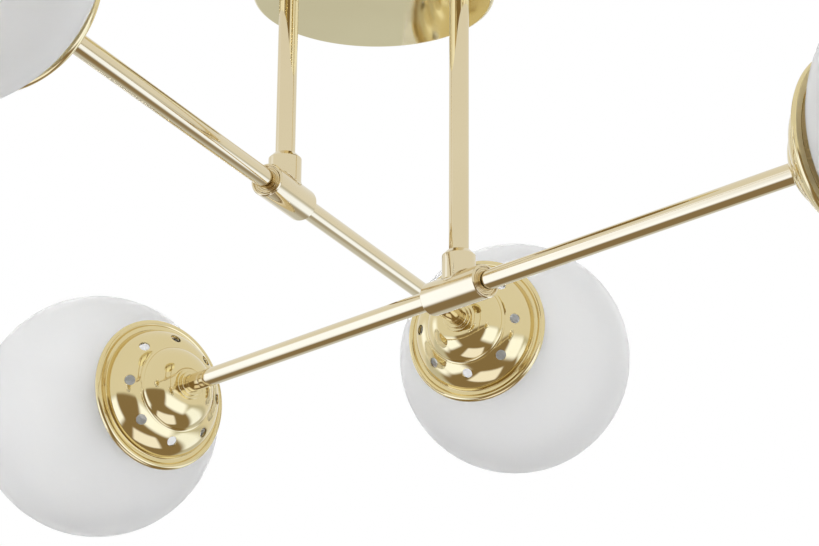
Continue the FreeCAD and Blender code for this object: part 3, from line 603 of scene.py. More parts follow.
class Finishes:
    """All finishes of the light, made once."""

    def __init__(self) -> None:
        """Build every material."""
        spun, spun_deep = (0.79, 0.665, 0.37), (0.77, 0.64, 0.34)
        turned, turned_deep, satin = (0.74, 0.58, 0.29), (0.66, 0.50, 0.23), (0.16, 0.3)
        self.tube_brass = PolishedBrass("brass_tube", (0.80, 0.69, 0.46), (0.775, 0.66, 0.43)).make()
        self.spun_brass = PolishedBrass("brass_spun", spun, spun_deep, marks=900).make()
        self.cup_brass = PolishedBrass("brass_cup", (0.83, 0.735, 0.45), (0.80, 0.70, 0.42),
                                       marks=700).make()
        self.screw_brass = PolishedBrass("brass_screw", turned, turned_deep, satin,
                                         ripple=0.00001, marks=1500).make()
        self.raw_brass = PolishedBrass("brass_turned", turned, turned_deep, satin, True, 0.00001).make()
        self.opal = OpalGlass("opal_glass").make()
        self.frosted = FrostedGlass("frosted_glass").make()
        self.zinc = PlatedSteel("zinc_plate").make()
        self.nickel = PlatedSteel("nickel_plate", (0.78, 0.75, 0.70), (0.68, 0.65, 0.60)).make()
        self.ceramic = GlazedCeramic("glazed_ceramic").make()
        self.block = MouldedPlastic("block_plastic", (0.84, 0.82, 0.75), (0.79, 0.77, 0.70)).make()
        self.sheath = MouldedPlastic("cable_sheath", (0.74, 0.70, 0.60), (0.68, 0.64, 0.54),
                                     (0.28, 0.4)).make()
        self.fibre = VulcanFibre("pressed_fibre").make()


# Plan and base.


@dataclass(frozen=True)
class Plan:
    """Where the pieces stand, in millimetres and degrees."""

    rod_place_across: float = 44.0
    cup_height: float = 25.0
    left_drop: float = 104.0
    right_drop: float = 158.0
    left_turn: float = -17.8
    right_turn: float = 46.3
    arm_reach: float = 317.0
    globe_drop: float = 60.633

    def drop(self, side: Side) -> float:
        """Cup's underside to an arm's axis."""
        return self.left_drop if side is Side.LEFT else self.right_drop

    def axis(self, side: Side) -> Vector:
        """Level direction of an arm's rear half."""
        turn = math.radians(self.left_turn if side is Side.LEFT else self.right_turn)
        return Vector((-math.sin(turn), math.cos(turn), 0))

    def rod_top(self, side: Side) -> Vector:
        """Point where a rod meets the cup's underside."""
        across = self.rod_place_across * (1 if side is Side.RIGHT else -1)
        return Vector((across, 0, -self.cup_height))

    def tee(self, side: Side) -> Vector:
        """Point where a rod's axis meets its arm's axis."""
        return self.rod_top(side) - UP * self.drop(side)

    @staticmethod
    def _standing(place: Vector, second: Vector, third: Vector) -> Matrix:
        """Placement in metres from a point and the directions of Y and Z."""
        turned = Matrix((second.cross(third), second, third)).transposed().to_4x4()
        return Matrix.Translation(place * MM) @ turned

    def under_cup(self, side: Side) -> Matrix:
        """Where a rod meets the cup's underside."""
        return Matrix.Translation(self.rod_top(side) * MM)

    def upright(self, side: Side) -> Matrix:
        """Tee's centre with Z up and Y along the arm."""
        return self._standing(self.tee(side), self.axis(side), UP)

    def along(self, side: Side) -> Matrix:
        """Tee's centre with Z along the arm's rear half and Y up."""
        return self._standing(self.tee(side), UP, self.axis(side))

    def arm_end(self, side: Side, end: End) -> Matrix:
        """Middle of a cap's rim with Z towards the tee and Y up."""
        outwards = self.axis(side) * (1 if end is End.REAR else -1)
        centre = self.tee(side) + outwards * (self.arm_reach - self.globe_drop)
        return self._standing(centre, UP, -outwards)


class SubAssembly:
    """Base of the sub-assemblies: keeps the plan, the finishes and what was made."""

    bevel_angle = 35
    bevel_segments = 2

    def __init__(self, plan: Plan, finishes: Finishes) -> None:
        """Take the plan and the finishes."""
        self.plan = plan
        self.finishes = finishes
        self.made: list[str] = []

    def fit(self, piece: Piece, body: str, slot: str, finish: bpy.types.Material, node: str) -> None:
        """Give a piece its finish and its body, and hide the node that it stands for.

        Args:
            piece: The piece, already in place.
            body: Body that it moves with.
            slot: Material slot of the record; not used.
            finish: Its material.
            node: Solid that it replaces.
        """
        piece.data.materials.append(finish)
        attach(piece, body)
        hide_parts(node)
        self.made.append(piece.name)
        LOG.info("%s rides on %s", piece.name, body)

    def dress_node(self, node: str, finish: bpy.types.Material, edge: float = 0.0) -> None:
        """Give a carried solid its finish.

        Args:
            node: Name of the solid.
            finish: Its material.
            edge: Width of the bevel on its edges in millimetres, or zero for none.
        """
        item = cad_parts[node]
        if not item.material_slots:
            item.data.materials.append(finish)
        for slot in item.material_slots:
            slot.material = finish
        if edge:
            bevel = item.modifiers.new("edges", "BEVEL")
            bevel.width = edge * MM
            bevel.segments = self.bevel_segments
            bevel.limit_method = "ANGLE"
            bevel.angle_limit = math.radians(self.bevel_angle)
            bevel.harden_normals = True
        self.made.append(node)
        LOG.info("%s is dressed in %s", node, finish.name)

    def turned(self, name: str, profile: Profile, segments: int, placement: Matrix,
               step: float = RING_STEP) -> Piece:
        """Turn a closed profile into a piece.

        Args:
            name: Name of the piece.
            profile: The profile.
            segments: Facets round it.
            placement: Where it stands, in metres.
            step: Largest angle between two rings of a bow.

        Returns:
            The new piece.
        """
        lathe = Lathe(segments)
        lathe.turn(profile.stations(step))
        return lathe.piece(name, placement)


# Sub-assemblies.


@dataclass
class CupSizes:
    """Sizes of the ceiling cup and its thumb screws, in millimetres."""

    radius: float = 62.0
    wall: float = 1.0
    edge: float = 2.5
    soft: float = 0.3
    segments: int = 160
    screw_drop: float = 9.0
    knob_radius: float = 4.5
    knob_height: float = 5.0
    knob_foot: float = 0.05
    knob_edge: float = 0.5
    knob_waist: float = 2.5
    knob_shoulder: float = 3.0
    knurls: int = 28
    knurl_faces: int = 4
    knurl_depth: float = 0.22
    knurl_band: float = 0.1
    shank_radius: float = 2.0
    shank_length: float = 8.0
    shank_tip: float = 0.4
    shank_top: float = 0.04
    shank_segments: int = 40
    pitch: float = 0.7
    crest: float = 0.45
    root: float = 0.95
    thread_depth: float = 0.32
    thread_soft: float = 0.06


class CeilingCup(SubAssembly):
    """Spun cup on the ceiling with a knurled thumb screw on each side."""

    sizes = CupSizes()

    def cup(self) -> Piece:
        """Spun cup with a rolled lower edge."""
        s, foot = self.sizes, -self.plan.cup_height
        inside = s.radius - s.wall
        quarter = bow(math.radians(90))
        profile = Profile((0, foot), (s.radius - s.edge, foot), (s.radius, foot + s.edge, quarter),
                          (s.radius, 0, 0, s.soft), (inside, 0, 0, s.soft), (inside, foot + s.edge),
                          (s.radius - s.edge, foot + s.wall, -quarter), (0, foot + s.wall))
        return self.turned("ceiling_cup_spun", profile, s.segments, Matrix.Identity(4))

    def screw_place(self, index: int) -> Matrix:
        """Where a thumb screw enters the cup's side, with Z outwards."""
        s = self.sizes
        outwards = Vector((0, 1 - 2 * index, 0))
        turn = UP.rotation_difference(outwards).to_matrix().to_4x4()
        return Matrix.Translation((outwards * s.radius - UP * s.screw_drop) * MM) @ turn

    def knob(self, index: int) -> Piece:
        """Knurled and domed head of a thumb screw."""
        s = self.sizes
        inner = s.knob_radius - s.knob_edge
        dome = bow(2 * math.atan((s.knob_height - s.knob_shoulder) / s.knob_radius))
        profile = Profile((0, s.knob_foot), (inner, s.knob_foot),
                          (s.knob_radius, s.knob_foot + s.knob_edge, 0, 0.1),
                          (s.knob_radius, s.knob_waist, 0, 0.3), (inner, s.knob_shoulder, 0, 0.2),
                          (0, s.knob_height, dome))
        lathe = Lathe(s.knurls * s.knurl_faces)
        lathe.turn(profile.stations())
        for place in lathe.points:
            angle = math.atan2(place.y, place.x)
            radius = math.hypot(place.x, place.y)
            if radius > s.knob_radius - s.knurl_band:
                groove = 1 - s.knurl_depth / radius * (0.5 + 0.5 * math.cos(angle * s.knurls))
                place.x *= groove
                place.y *= groove
        return lathe.piece("cup_thumb_screw_%d" % (index + 1), self.screw_place(index))

    def shank(self, index: int) -> Piece:
        """Threaded shank of a thumb screw inside the cup."""
        s = self.sizes
        core = s.shank_radius - s.thread_depth
        height = -s.shank_length
        corners = [(0, height), (s.shank_radius - s.shank_tip, height)]
        while height + s.pitch < 0:
            corners += [(s.shank_radius, height + s.pitch * s.crest, 0, s.thread_soft),
                        (core, height + s.pitch * s.root, 0, s.thread_soft)]
            height += s.pitch
        profile = Profile(*corners, (core, s.shank_top), (0, s.shank_top))
        name = "cup_screw_thread_%d" % (index + 1)
        return self.turned(name, profile, s.shank_segments, self.screw_place(index))

    def build(self) -> None:
        """Make the cup and its screws and fit them."""
        self.fit(self.cup(), "mounting", BRASS, self.finishes.cup_brass, "ceiling_cup")
        for index in (0, 1):
            for piece, finish in ((self.knob(index), self.finishes.spun_brass),
                                  (self.shank(index), self.finishes.screw_brass)):
                self.fit(piece, "mounting", BRASS, finish, "cup_side_screws")


class CupFittings(SubAssembly):
    """What the cup hides: strap, earth screw, terminal block, nuts, nipples and cables."""

    def dress(self) -> None:
        """Give the carried solids their finishes."""
        f = self.finishes
        for node, finish, edge in (
            ("ceiling_strap", f.zinc, 0.25),
            ("earth_screw", f.zinc, 0.15),
            ("terminal_block", f.block, 0.5),
            ("terminal_screws", f.zinc, 0.2),
            ("rod_nipples", f.raw_brass, 0.15),
            ("cup_rod_washers", f.zinc, 0.15),
            ("cup_rod_nuts", f.raw_brass, 0.3),
            ("swivel_nuts", f.raw_brass, 0.2),
            ("rod_cables", f.sheath, 0.0),
        ):
            self.dress_node(node, finish, edge)


@dataclass
class TubeSizes:
    """Sizes of the brass tube, in millimetres."""

    radius: float = 5.0
    wall: float = 1.0
    soft: float = 0.2
    segments: int = 64


class Tubes(SubAssembly):
    """Base of the rods and arms, which are cut from one tube."""

    sizes = TubeSizes()

    def tube(self, name: str, low: float, high: float, placement: Matrix) -> Piece:
        """Make a tube between two heights.

        Args:
            name: Name of the piece.
            low: Height of its lower end in millimetres.
            high: Height of its upper end.
            placement: Where its axis stands, in metres.

        Returns:
            The new piece.
        """
        s = self.sizes
        inside = s.radius - s.wall
        corners = (inside, low), (s.radius, low), (s.radius, high), (inside, high)
        profile = Profile(*[(*corner, 0, s.soft) for corner in corners])
        return self.turned(name, profile, s.segments, placement)


class DownRod(Tubes):
    """Polished tube from the cup to a tee."""

    seat = 15.0

    def build(self, side: Side) -> None:
        """Make one rod."""
        foot = self.seat - self.plan.drop(side)
        rod = self.tube(side.value + "_rod_tube", foot, 0, self.plan.under_cup(side))
        self.fit(rod, "mounting", BRASS, self.finishes.tube_brass, side.value + "_down_rod")


@dataclass
class TeeSizes:
    """Sizes of a tee, in millimetres."""

    collar_radius: float = 8.4
    collar_middle: float = 10.0
    collar_top: float = 20.5
    collar_slope: float = 2.6
    collar_foot: float = 3.6
    bore: float = 5.05
    sleeve_radius: float = 8.6
    sleeve_half: float = 20.0
    sleeve_edge: float = 0.6
    seam: float = 0.08
    lip: float = 0.28
    recess_radius: float = 7.4
    recess_depth: float = 3.0
    shelf: float = 1.4
    ring_radius: float = 6.7
    ring_sink: float = 0.6
    segments: int = 96


class SwivelTee(SubAssembly):
    """Collar that turns on a rod, and the level sleeve below it."""

    sizes = TeeSizes()

    def saddle(self, radius: float, angle: float) -> float:
        """Height of the saddle cut at a radius and angle of the collar."""
        s = self.sizes
        across = radius * math.cos(angle)
        return max(s.collar_foot, math.sqrt((s.sleeve_radius + s.seam) ** 2 - across ** 2))

    def collar(self, side: Side) -> Piece:
        """Collar with a curled lip along its saddle cut."""
        s = self.sizes
        lathe = Lathe(s.segments)
        top = Profile((s.collar_radius, s.collar_middle),
                      (s.collar_radius, s.collar_top - s.collar_slope, 0, 0.35),
                      (s.collar_radius - s.collar_slope, s.collar_top, 0, 0.3),
                      (s.bore, s.collar_top, 0, 0.15), (s.bore, s.collar_middle))
        stations = top.stations()[:-1]
        above = lathe.turn(stations, left_open=[len(stations) - 1])[0]
        # The skirt follows the saddle: each column of it ends in a rounded lip.
        lip = ((0.0, 1.5), (0.12, 1.0), (s.lip, 0.55), (s.lip, 0.28), (0.1, 0.06), (-0.5, 0.0))
        slopes = ((1, 0), (1, 0.25), (1, 0.1), (1, -0.5), (0.5, -0.9), (0, -1))
        look = slopes[0]
        for (out, rise), slope in zip(lip, slopes):
            below = []
            for angle in lathe.angles[:-1]:
                edge = Vector((s.collar_radius + out, self.saddle(s.collar_radius, angle) + rise))
                below.append(lathe.point(lathe.at_angle(edge, angle)))
            lathe.band(above, below, Vector(look), Vector(slope))
            above, look = below, slope
        return lathe.piece(side.value + "_collar_turned", self.plan.upright(side))

    def sleeve(self, side: Side) -> Piece:
        """Sleeve with chamfered ends, each with a recess and a shelf round its ring nut."""
        s = self.sizes
        seat = s.ring_radius + s.seam
        # Radius, depth below the sleeve's end and softness of each corner of one end.
        corners = ((seat, s.recess_depth, 0.0), (seat, s.shelf, 0.15), (s.recess_radius, s.shelf, 0.2),
                   (s.recess_radius, 0.0, 0.15), (s.sleeve_radius - s.sleeve_edge, 0.0, 0.15),
                   (s.sleeve_radius, s.sleeve_edge, 0.2))
        far = s.sleeve_half
        profile = Profile((s.bore, s.recess_depth - far),
                          *[(radius, depth - far, 0, soft) for radius, depth, soft in corners],
                          *[(radius, far - depth, 0, soft) for radius, depth, soft in reversed(corners)],
                          (s.bore, far - s.recess_depth))
        return self.turned(side.value + "_sleeve_turned", profile, s.segments, self.plan.along(side))

    def ring(self, side: Side, end: End) -> Piece:
        """Ring nut with a raised and a sunk circle on its face."""
        s = self.sizes
        foot, top = s.sleeve_half - s.recess_depth, s.sleeve_half - s.ring_sink
        # Inset from the ring's edge, depth and softness of each corner of its face.
        corners = ((0, 0.1, 0.2), (0.6, 0.1, 0.15), (0.7, 0.5, 0.1), (1.0, 0.5, 0.1), (1.1, 0, 0.12))
        face = [(s.ring_radius - inset, top - depth, 0, soft) for inset, depth, soft in corners]
        profile = Profile((s.ring_radius, foot), *face, (s.bore, top, 0, 0.1), (s.bore, foot))
        flip = Matrix.Rotation(0 if end is End.REAR else math.pi, 4, "Y")
        place = self.plan.along(side) @ flip
        return self.turned(end_name(side, end) + "_ring_nut", profile, s.segments, place)

    def build(self, side: Side) -> None:
        """Make one tee and dress the washer and the cables inside it."""
        name, brass = side.value, self.finishes.tube_brass
        pieces = [(self.collar(side), "_tee_collar"), (self.sleeve(side), "_arm_sleeve")]
        for piece, node in pieces + [(self.ring(side, end), "_sleeve_rings") for end in End]:
            self.fit(piece, name + "_arm", BRASS, brass, name + node)
        self.dress_node(name + "_swivel_washer", self.finishes.fibre)
        self.dress_node(name + "_arm_cables", self.finishes.sheath)


@dataclass
class CapSizes:
    """Sizes of a bell cap and its lock nut, in millimetres and degrees.

    The cove and the dome start at shares of the skirt's radius and of the depth. Inside,
    the cove is set back by shares of the wall.
    """

    skirt: float = 37.15
    ledge: float = 2.3
    rim_height: float = 2.9
    bead: float = 3.2
    top: float = 9.5
    depth: float = 30.0
    wall: float = 1.0
    bore: float = 5.05
    cove: Span = (0.673, 0.607)
    cove_lean: Span = (0.6, 0.8)
    dome: Span = (0.630, 0.667)
    skirt_swell: float = 0.146
    cove_swell: float = -0.18
    dome_swell: float = 0.131
    vents: int = 8
    vent_radius: float = 3.0
    vent_circle: float = 29.98
    vent_height: float = 15.54
    nut_radius: float = 8.6
    nut_neck: float = 7.0
    nut_height: float = 3.4
    nut_foot: float = 1.5
    segments: int = 128
    step: float = 4.0
    nut_segments: int = 96


class BellCap(SubAssembly):
    """Spun bell with a beaded rim, a stepped dome and a ring of vents, and its lock nut."""

    sizes = CapSizes()
    side_steps = 12
    fan_steps = 5
    fan_bias = 1.3
    vented = (3, 11)

    def profile(self) -> Profile:
        """Draw the bell, whose vents are in its fourth and its twelfth stretch."""
        s = self.sizes
        r, d, w, rim = s.skirt, s.depth, s.wall, s.rim_height
        ledge = r + s.ledge
        cove, cove_height = r * s.cove[0], d * s.cove[1]
        inner_cove, inner_height = cove - w * s.cove_lean[0], cove_height - w * s.cove_lean[1]
        dome, dome_height = r * s.dome[0], d * s.dome[1]
        return Profile(
            (ledge, 0), (ledge + s.bead, 0), (ledge, rim, 0.5, 0.25), (r, rim, 0, 0.5),
            (cove, cove_height, s.skirt_swell, 0.2), (dome, dome_height, s.cove_swell, 0.25),
            (s.top, d, s.dome_swell, 0.8), (s.bore, d), (s.bore, d - w), (s.top, d - w),
            (dome - w, dome_height, -s.dome_swell), (inner_cove, inner_height, -s.cove_swell),
            (r - w, rim, -s.skirt_swell), (r - w, rim - w), (ledge - w, rim - w))

    def vented_band(self, lathe: Lathe, stretch: Stretch, near: list[int],
                    far: list[int]) -> list[list[int]]:
        """Fill one vented stretch with fans of faces round its holes.

        Args:
            lathe: Mesh that gets the faces.
            stretch: The stretch of the profile.
            near: Vertices of the ring where it starts.
            far: Vertices of the ring where it ends.

        Returns:
            The vertices round each hole.
        """
        s = self.sizes
        middle = stretch.nearest(Vector((s.vent_circle, s.vent_height)))
        radius = stretch.place(middle).x
        across = s.segments // s.vents
        half = math.pi / s.vents
        shares = [j / self.side_steps for j in range(1, self.side_steps)]
        angles = [-half + 2 * half * k / across for k in range(across + 1)]

        def place(share: float, angle: float) -> Vector:
            """Point of the band."""
            return lathe.at_angle(stretch.place(share), angle)

        def look(share: float, angle: float) -> Vector:
            """Normal of the band."""
            return lathe.at_angle(lathe.outward(stretch.tangent(share)), angle)

        centres = [2 * math.pi * vent / s.vents for vent in range(s.vents)]
        spokes = [[lathe.point(place(share, centre - half)) for share in shares] for centre in centres]
        holes = []
        for vent, centre in enumerate(centres):
            first = vent * across - across // 2
            numbers = [(first + k) % s.segments for k in range(across + 1)]
            # Vertex, share and angle of each corner of the field round a hole, and then of its rows.
            row = [(near[number], 0.0, angle) for number, angle in zip(numbers, angles)]
            row += [(vertex, share, half) for vertex, share in zip(spokes[(vent + 1) % s.vents], shares)]
            row += [(far[number], 1.0, angle) for number, angle in zip(numbers[::-1], angles[::-1])]
            row += [(vertex, share, -half) for vertex, share in zip(spokes[vent][::-1], shares[::-1])]
            field = row
            for step in range(1, self.fan_steps + 1):
                blend = 1 - (1 - step / self.fan_steps) ** self.fan_bias
                outer, row = row, []
                for vertex, share, angle in field:
                    turn = math.atan2(angle * radius, (share - middle) * stretch.length)
                    hole_share = middle + s.vent_radius * math.cos(turn) / stretch.length
                    hole_angle = s.vent_radius * math.sin(turn) / stretch.place(hole_share).x
                    share += (hole_share - share) * blend
                    angle += (hole_angle - angle) * blend
                    row.append((lathe.point(place(share, centre + angle)), share, angle))
                for k in range(len(row)):
                    corners = (outer[k - 1], outer[k], row[k], row[k - 1])
                    lathe.face([c[0] for c in corners], [look(c[1], centre + c[2]) for c in corners])
            holes.append([vertex for vertex, share, angle in row])
        return holes

    def bell(self, side: Side, end: End) -> Piece:
        """Spun bell with real vent holes."""
        profile = self.profile()
        stations = profile.stations(math.radians(self.sizes.step))
        vented = [profile.stretches[index] for index in self.vented]
        # The two vented stretches lose their plain faces; the fans take their place.
        bands = []
        for stretch in vented:
            on_it = [k for k, station in enumerate(stations)
                     if (station.place - stretch.place(stretch.nearest(station.place))).length < NEAR]
            bands.append((min(on_it), max(on_it)))
        kept: list[Station] = []
        gaps = []
        for k, station in enumerate(stations):
            if any(low < k < high for low, high in bands):
                continue
            if any(k == low for low, high in bands):
                gaps.append(len(kept))
            kept.append(station)
        lathe = Lathe(self.sizes.segments)
        rings = lathe.turn(kept, left_open=gaps)
        outer, inner = [
            self.vented_band(lathe, self.cut_to(stretch, kept[gap].place, kept[gap + 1].place),
                             rings[gap], rings[gap + 1])
            for stretch, gap in zip(vented, gaps)]
        # The inner stretch runs the other way, so its rims are turned round to match.
        shift = self.side_steps - 1
        for above, below in zip(outer, inner):
            below = below[::-1][shift:] + below[::-1][:shift]
            axis = sum((lathe.points[k] for k in above), Vector()) / len(above)
            for k in range(len(above)):
                corners = (above[k - 1], above[k], below[k], below[k - 1])
                lathe.face(corners, [axis - lathe.points[c] for c in corners])
        return lathe.piece(end_name(side, end) + "_bell", self.plan.arm_end(side, end))

    @staticmethod
    def cut_to(stretch: Stretch, start: Vector, finish: Vector) -> Stretch:
        """The part of a bowed stretch between two of its points."""
        first, last = stretch.nearest(start), stretch.nearest(finish)
        swell = bow(stretch.angle * (last - first))
        return Stretch(stretch.place(first), stretch.place(last), swell)

    def lock_nut(self, side: Side, end: End) -> Piece:
        """Stepped lock nut round the tube."""
        s = self.sizes
        step, top = s.depth + s.nut_foot, s.depth + s.nut_height
        profile = Profile((s.bore, s.depth), (s.nut_radius, s.depth, 0, 0.1),
                          (s.nut_radius, step, 0, 0.4), (s.nut_neck, step, 0, 0.15),
                          (s.nut_neck, top, 0, 0.4), (s.bore, top, 0, 0.15))
        name = end_name(side, end) + "_lock_nut"
        return self.turned(name, profile, s.nut_segments, self.plan.arm_end(side, end))

    def build(self, side: Side, end: End) -> None:
        """Make one bell and its lock nut and dress the lug ring."""
        name = end_name(side, end)
        for piece, node in ((self.bell(side, end), "_cap"), (self.lock_nut(side, end), "_cap_nut")):
            self.fit(piece, side.value + "_arm", BRASS, self.finishes.spun_brass, name + node)
        self.dress_node(name + "_lug_ring", self.finishes.raw_brass)


class ArmTube(Tubes):
    """Polished tube from a tee into the lampholder."""

    cap_end = 21.0
    stop = 5.05

    def build(self, side: Side, end: End) -> None:
        """Make one arm tube."""
        tee_end = self.plan.arm_reach - self.plan.globe_drop - self.stop
        name = end_name(side, end)
        tube = self.tube(name + "_tube", self.cap_end, tee_end, self.plan.arm_end(side, end))
        self.fit(tube, side.value + "_arm", BRASS, self.finishes.tube_brass, name + "_arm_tube")


@dataclass
class GlobeSizes:
    """Sizes of a globe, in millimetres and degrees."""

    radius: float = 70.0
    wall: float = 2.5
    neck_radius: float = 32.75
    neck_height: float = 8.5
    neck_soft: float = 0.9
    throat: float = 3.0
    segments: int = 144
    step: float = 2.5
    lugs: int = 3
    lug_angle: float = 28.0
    lug_foot: float = 2.9
    lug_height: float = 2.0
    lug_proud: float = 1.4
    lug_root: float = 0.2
    lug_fullness: float = 0.55
    lug_columns: int = 16
    lug_rows: int = 9


class OpalGlobe(SubAssembly):
    """Blown globe with a flame-polished neck and three lugs."""

    sizes = GlobeSizes()
    least_look = 0.15

    def glass(self, side: Side, end: End) -> Piece:
        """Globe's wall from the far pole to the rim of its neck and back inside."""
        s, drop = self.sizes, self.plan.globe_drop
        inside, bore = s.radius - s.wall, s.neck_radius - s.wall

        def joint(ball: float, neck: float) -> float:
            """Height at which a neck leaves a ball."""
            return math.sqrt(ball ** 2 - neck ** 2) - drop

        quarter = bow(math.radians(90))
        profile = Profile((0, -drop - s.radius), (s.radius, -drop, quarter),
                          (s.neck_radius, joint(s.radius, s.neck_radius),
                           bow(math.acos(s.neck_radius / s.radius)), s.throat),
                          (s.neck_radius, s.neck_height, 0, s.neck_soft),
                          (bore, s.neck_height, 0, s.neck_soft),
                          (bore, joint(inside, bore), 0, s.throat),
                          (inside, -drop, -bow(math.acos(bore / inside))),
                          (0, -drop - inside, -quarter))
        return self.turned(end_name(side, end) + "_opal", profile, s.segments,
                           self.plan.arm_end(side, end), math.radians(s.step))

    def lug(self, side: Side, end: End, index: int) -> Piece:
        """Moulded lug on the neck, thinned towards its ends."""
        s = self.sizes
        work = MeshWork()
        half = math.radians(s.lug_angle / 2)
        centre = 2 * math.pi * index / s.lugs
        turns = [math.pi * (j / s.lug_rows) - math.pi / 2 for j in range(s.lug_rows + 1)]
        columns = []
        for i in range(s.lug_columns + 1):
            share = i / s.lug_columns * 2 - 1
            thin = math.sqrt(max(0.0, 1 - share ** 4))
            angle = centre + half * share
            column = []
            for turn in turns:
                proud = s.lug_proud * thin * max(0.0, math.cos(turn)) ** s.lug_fullness
                rise = s.lug_foot + s.lug_height * (0.5 + 0.5 * math.sin(turn))
                radius = s.neck_radius - s.lug_root + proud + s.lug_root * (thin > 0)
                place = work.point(Vector((radius * math.cos(angle), radius * math.sin(angle), rise)))
                flat = max(self.least_look, math.cos(turn))
                look = Vector((math.cos(angle) * flat, math.sin(angle) * flat, math.sin(turn)))
                column.append((place, look))
            columns.append(column)
        for left, right in zip(columns, columns[1:]):
            for j in range(s.lug_rows):
                places, looks = zip(left[j], right[j], right[j + 1], left[j + 1])
                work.face(places, looks)
        return work.piece("%s_lug_%d" % (end_name(side, end), index + 1), self.plan.arm_end(side, end))

    def build(self, side: Side, end: End) -> None:
        """Make one globe with its lugs."""
        name = end_name(side, end) + "_globe"
        for piece in [self.glass(side, end)] + [self.lug(side, end, k) for k in range(self.sizes.lugs)]:
            self.fit(piece, name, OPAL, self.finishes.opal, name)


class Lamp(SubAssembly):
    """Lampholder, contacts and lamp inside a globe."""

    def dress(self, side: Side, end: End) -> None:
        """Give the carried solids of one lamp their finishes."""
        f, name = self.finishes, end_name(side, end)
        self.dress_node(name + "_lampholder", f.ceramic, 0.3)
        self.dress_node(name + "_socket_contacts", f.raw_brass)
        self.dress_node(name + "_lamp_cap", f.nickel)
        self.dress_node(name + "_lamp_glass", f.frosted)


# Studio and camera.


@dataclass(frozen=True)
class Softbox:
    """One soft lamp of the studio, in metres and watts."""

    name: str
    place: Vector
    size: Span
    power: float

    def set_up(self, target: Vector) -> None:
        """Put the lamp in the scene, facing a point."""
        data = bpy.data.lights.new(self.name, "AREA")
        data.shape = "RECTANGLE"
        data.size, data.size_y = self.size
        data.energy = self.power
        lamp = add_object(self.name, data)
        lamp.visible_glossy = False
        lamp.location = self.place
        lamp.rotation_euler = (target - self.place).to_track_quat("-Z", "Y").to_euler()


@dataclass(frozen=True)
class MirroredPanel:
    """Soft rectangle of the room that only the metal mirrors, seen from the light, in degrees.

    The heading counts from the viewer's side, to the right.
    """

    heading: float
    elevation: float
    width: float
    height: float
    colour: Colour
    softness: float = 5.0

    def directions(self) -> tuple[Vector, Vector, Vector]:
        """Middle of the panel, and the level and the steep direction across it."""
        heading, elevation = math.radians(self.heading), math.radians(self.elevation)
        flat = math.cos(elevation)
        middle = Vector((math.sin(heading) * flat, -math.cos(heading) * flat, math.sin(elevation)))
        across = Vector((math.cos(heading), math.sin(heading), 0))
        return middle, across, middle.cross(across)


class Room(NodeBoard):
    """Lays out the world's nodes: what the metal mirrors, by direction."""

    least_depth = 0.01
    horizon = (0.1, 0.2)

    def __init__(self, world: bpy.types.World) -> None:
        """Empty the world's node tree and find each ray's direction."""
        super().__init__(world)
        self.direction = self.node("TexCoord").outputs["Generated"]
        self.height = self.node("SeparateXYZ", Vector=self.direction).outputs["Z"]

    def sum(self, operation: str, *values: object, kind: str = "Math") -> Socket:
        """One step of arithmetic."""
        step = self.node(kind)
        step.operation = operation
        for value, socket in zip(values, step.inputs):
            self.join(value, socket)
        return step.outputs["Value"]

    def smooth(self, source: Socket, low: float, high: float) -> Socket:
        """Rise softly from nought at the low value to one at the high value."""
        rung = self.node("MapRange", Value=source, From_Min=low, From_Max=high)
        rung.interpolation_type = "SMOOTHSTEP"
        return rung.outputs["Result"]

    def mixed(self, share: Socket, *colours: object) -> Socket:
        """Colour between two colours."""
        mix = self.node("Mix", Factor=share)
        mix.data_type = "RGBA"
        for colour, socket in zip(colours, mix.inputs[6:8]):
            self.join(colour, socket)
        return mix.outputs[2]

    def along(self, vector: Vector) -> Socket:
        """How far the direction goes along a vector."""
        return self.sum("DOT_PRODUCT", self.direction, vector, kind="VectorMath")

    def panel(self, room: object, panel: MirroredPanel) -> Socket:
        """Lay a panel over the room.

        Args:
            room: Colour so far.
            panel: The panel.

        Returns:
            The colour with the panel in it.
        """
        middle, across, steep = panel.directions()
        depth = self.sum("MAXIMUM", self.along(middle), self.least_depth)
        share = self.smooth(depth, *self.horizon)
        soft = math.tan(math.radians(panel.softness))
        for vector, size in ((across, panel.width), (steep, panel.height)):
            reach = math.tan(math.radians(size / 2))
            place = self.sum("ABSOLUTE", self.sum("DIVIDE", self.along(vector), depth))
            inside = self.sum("SUBTRACT", 1.0, self.smooth(place, reach - soft, reach + soft))
            share = self.sum("MULTIPLY", share, inside)
        return self.mixed(share, room, panel.colour)

    def background(self, colour: object) -> Socket:
        """Background of a colour."""
        return self.node("Background", Color=colour).outputs[0]

    def choose(self, share: Socket, first: Socket, second: Socket) -> Socket:
        """Take the second background where the share is one."""
        mix = self.node("MixShader")
        for socket, target in zip((share, first, second), mix.inputs):
            self.join(socket, target)
        return mix.outputs[0]


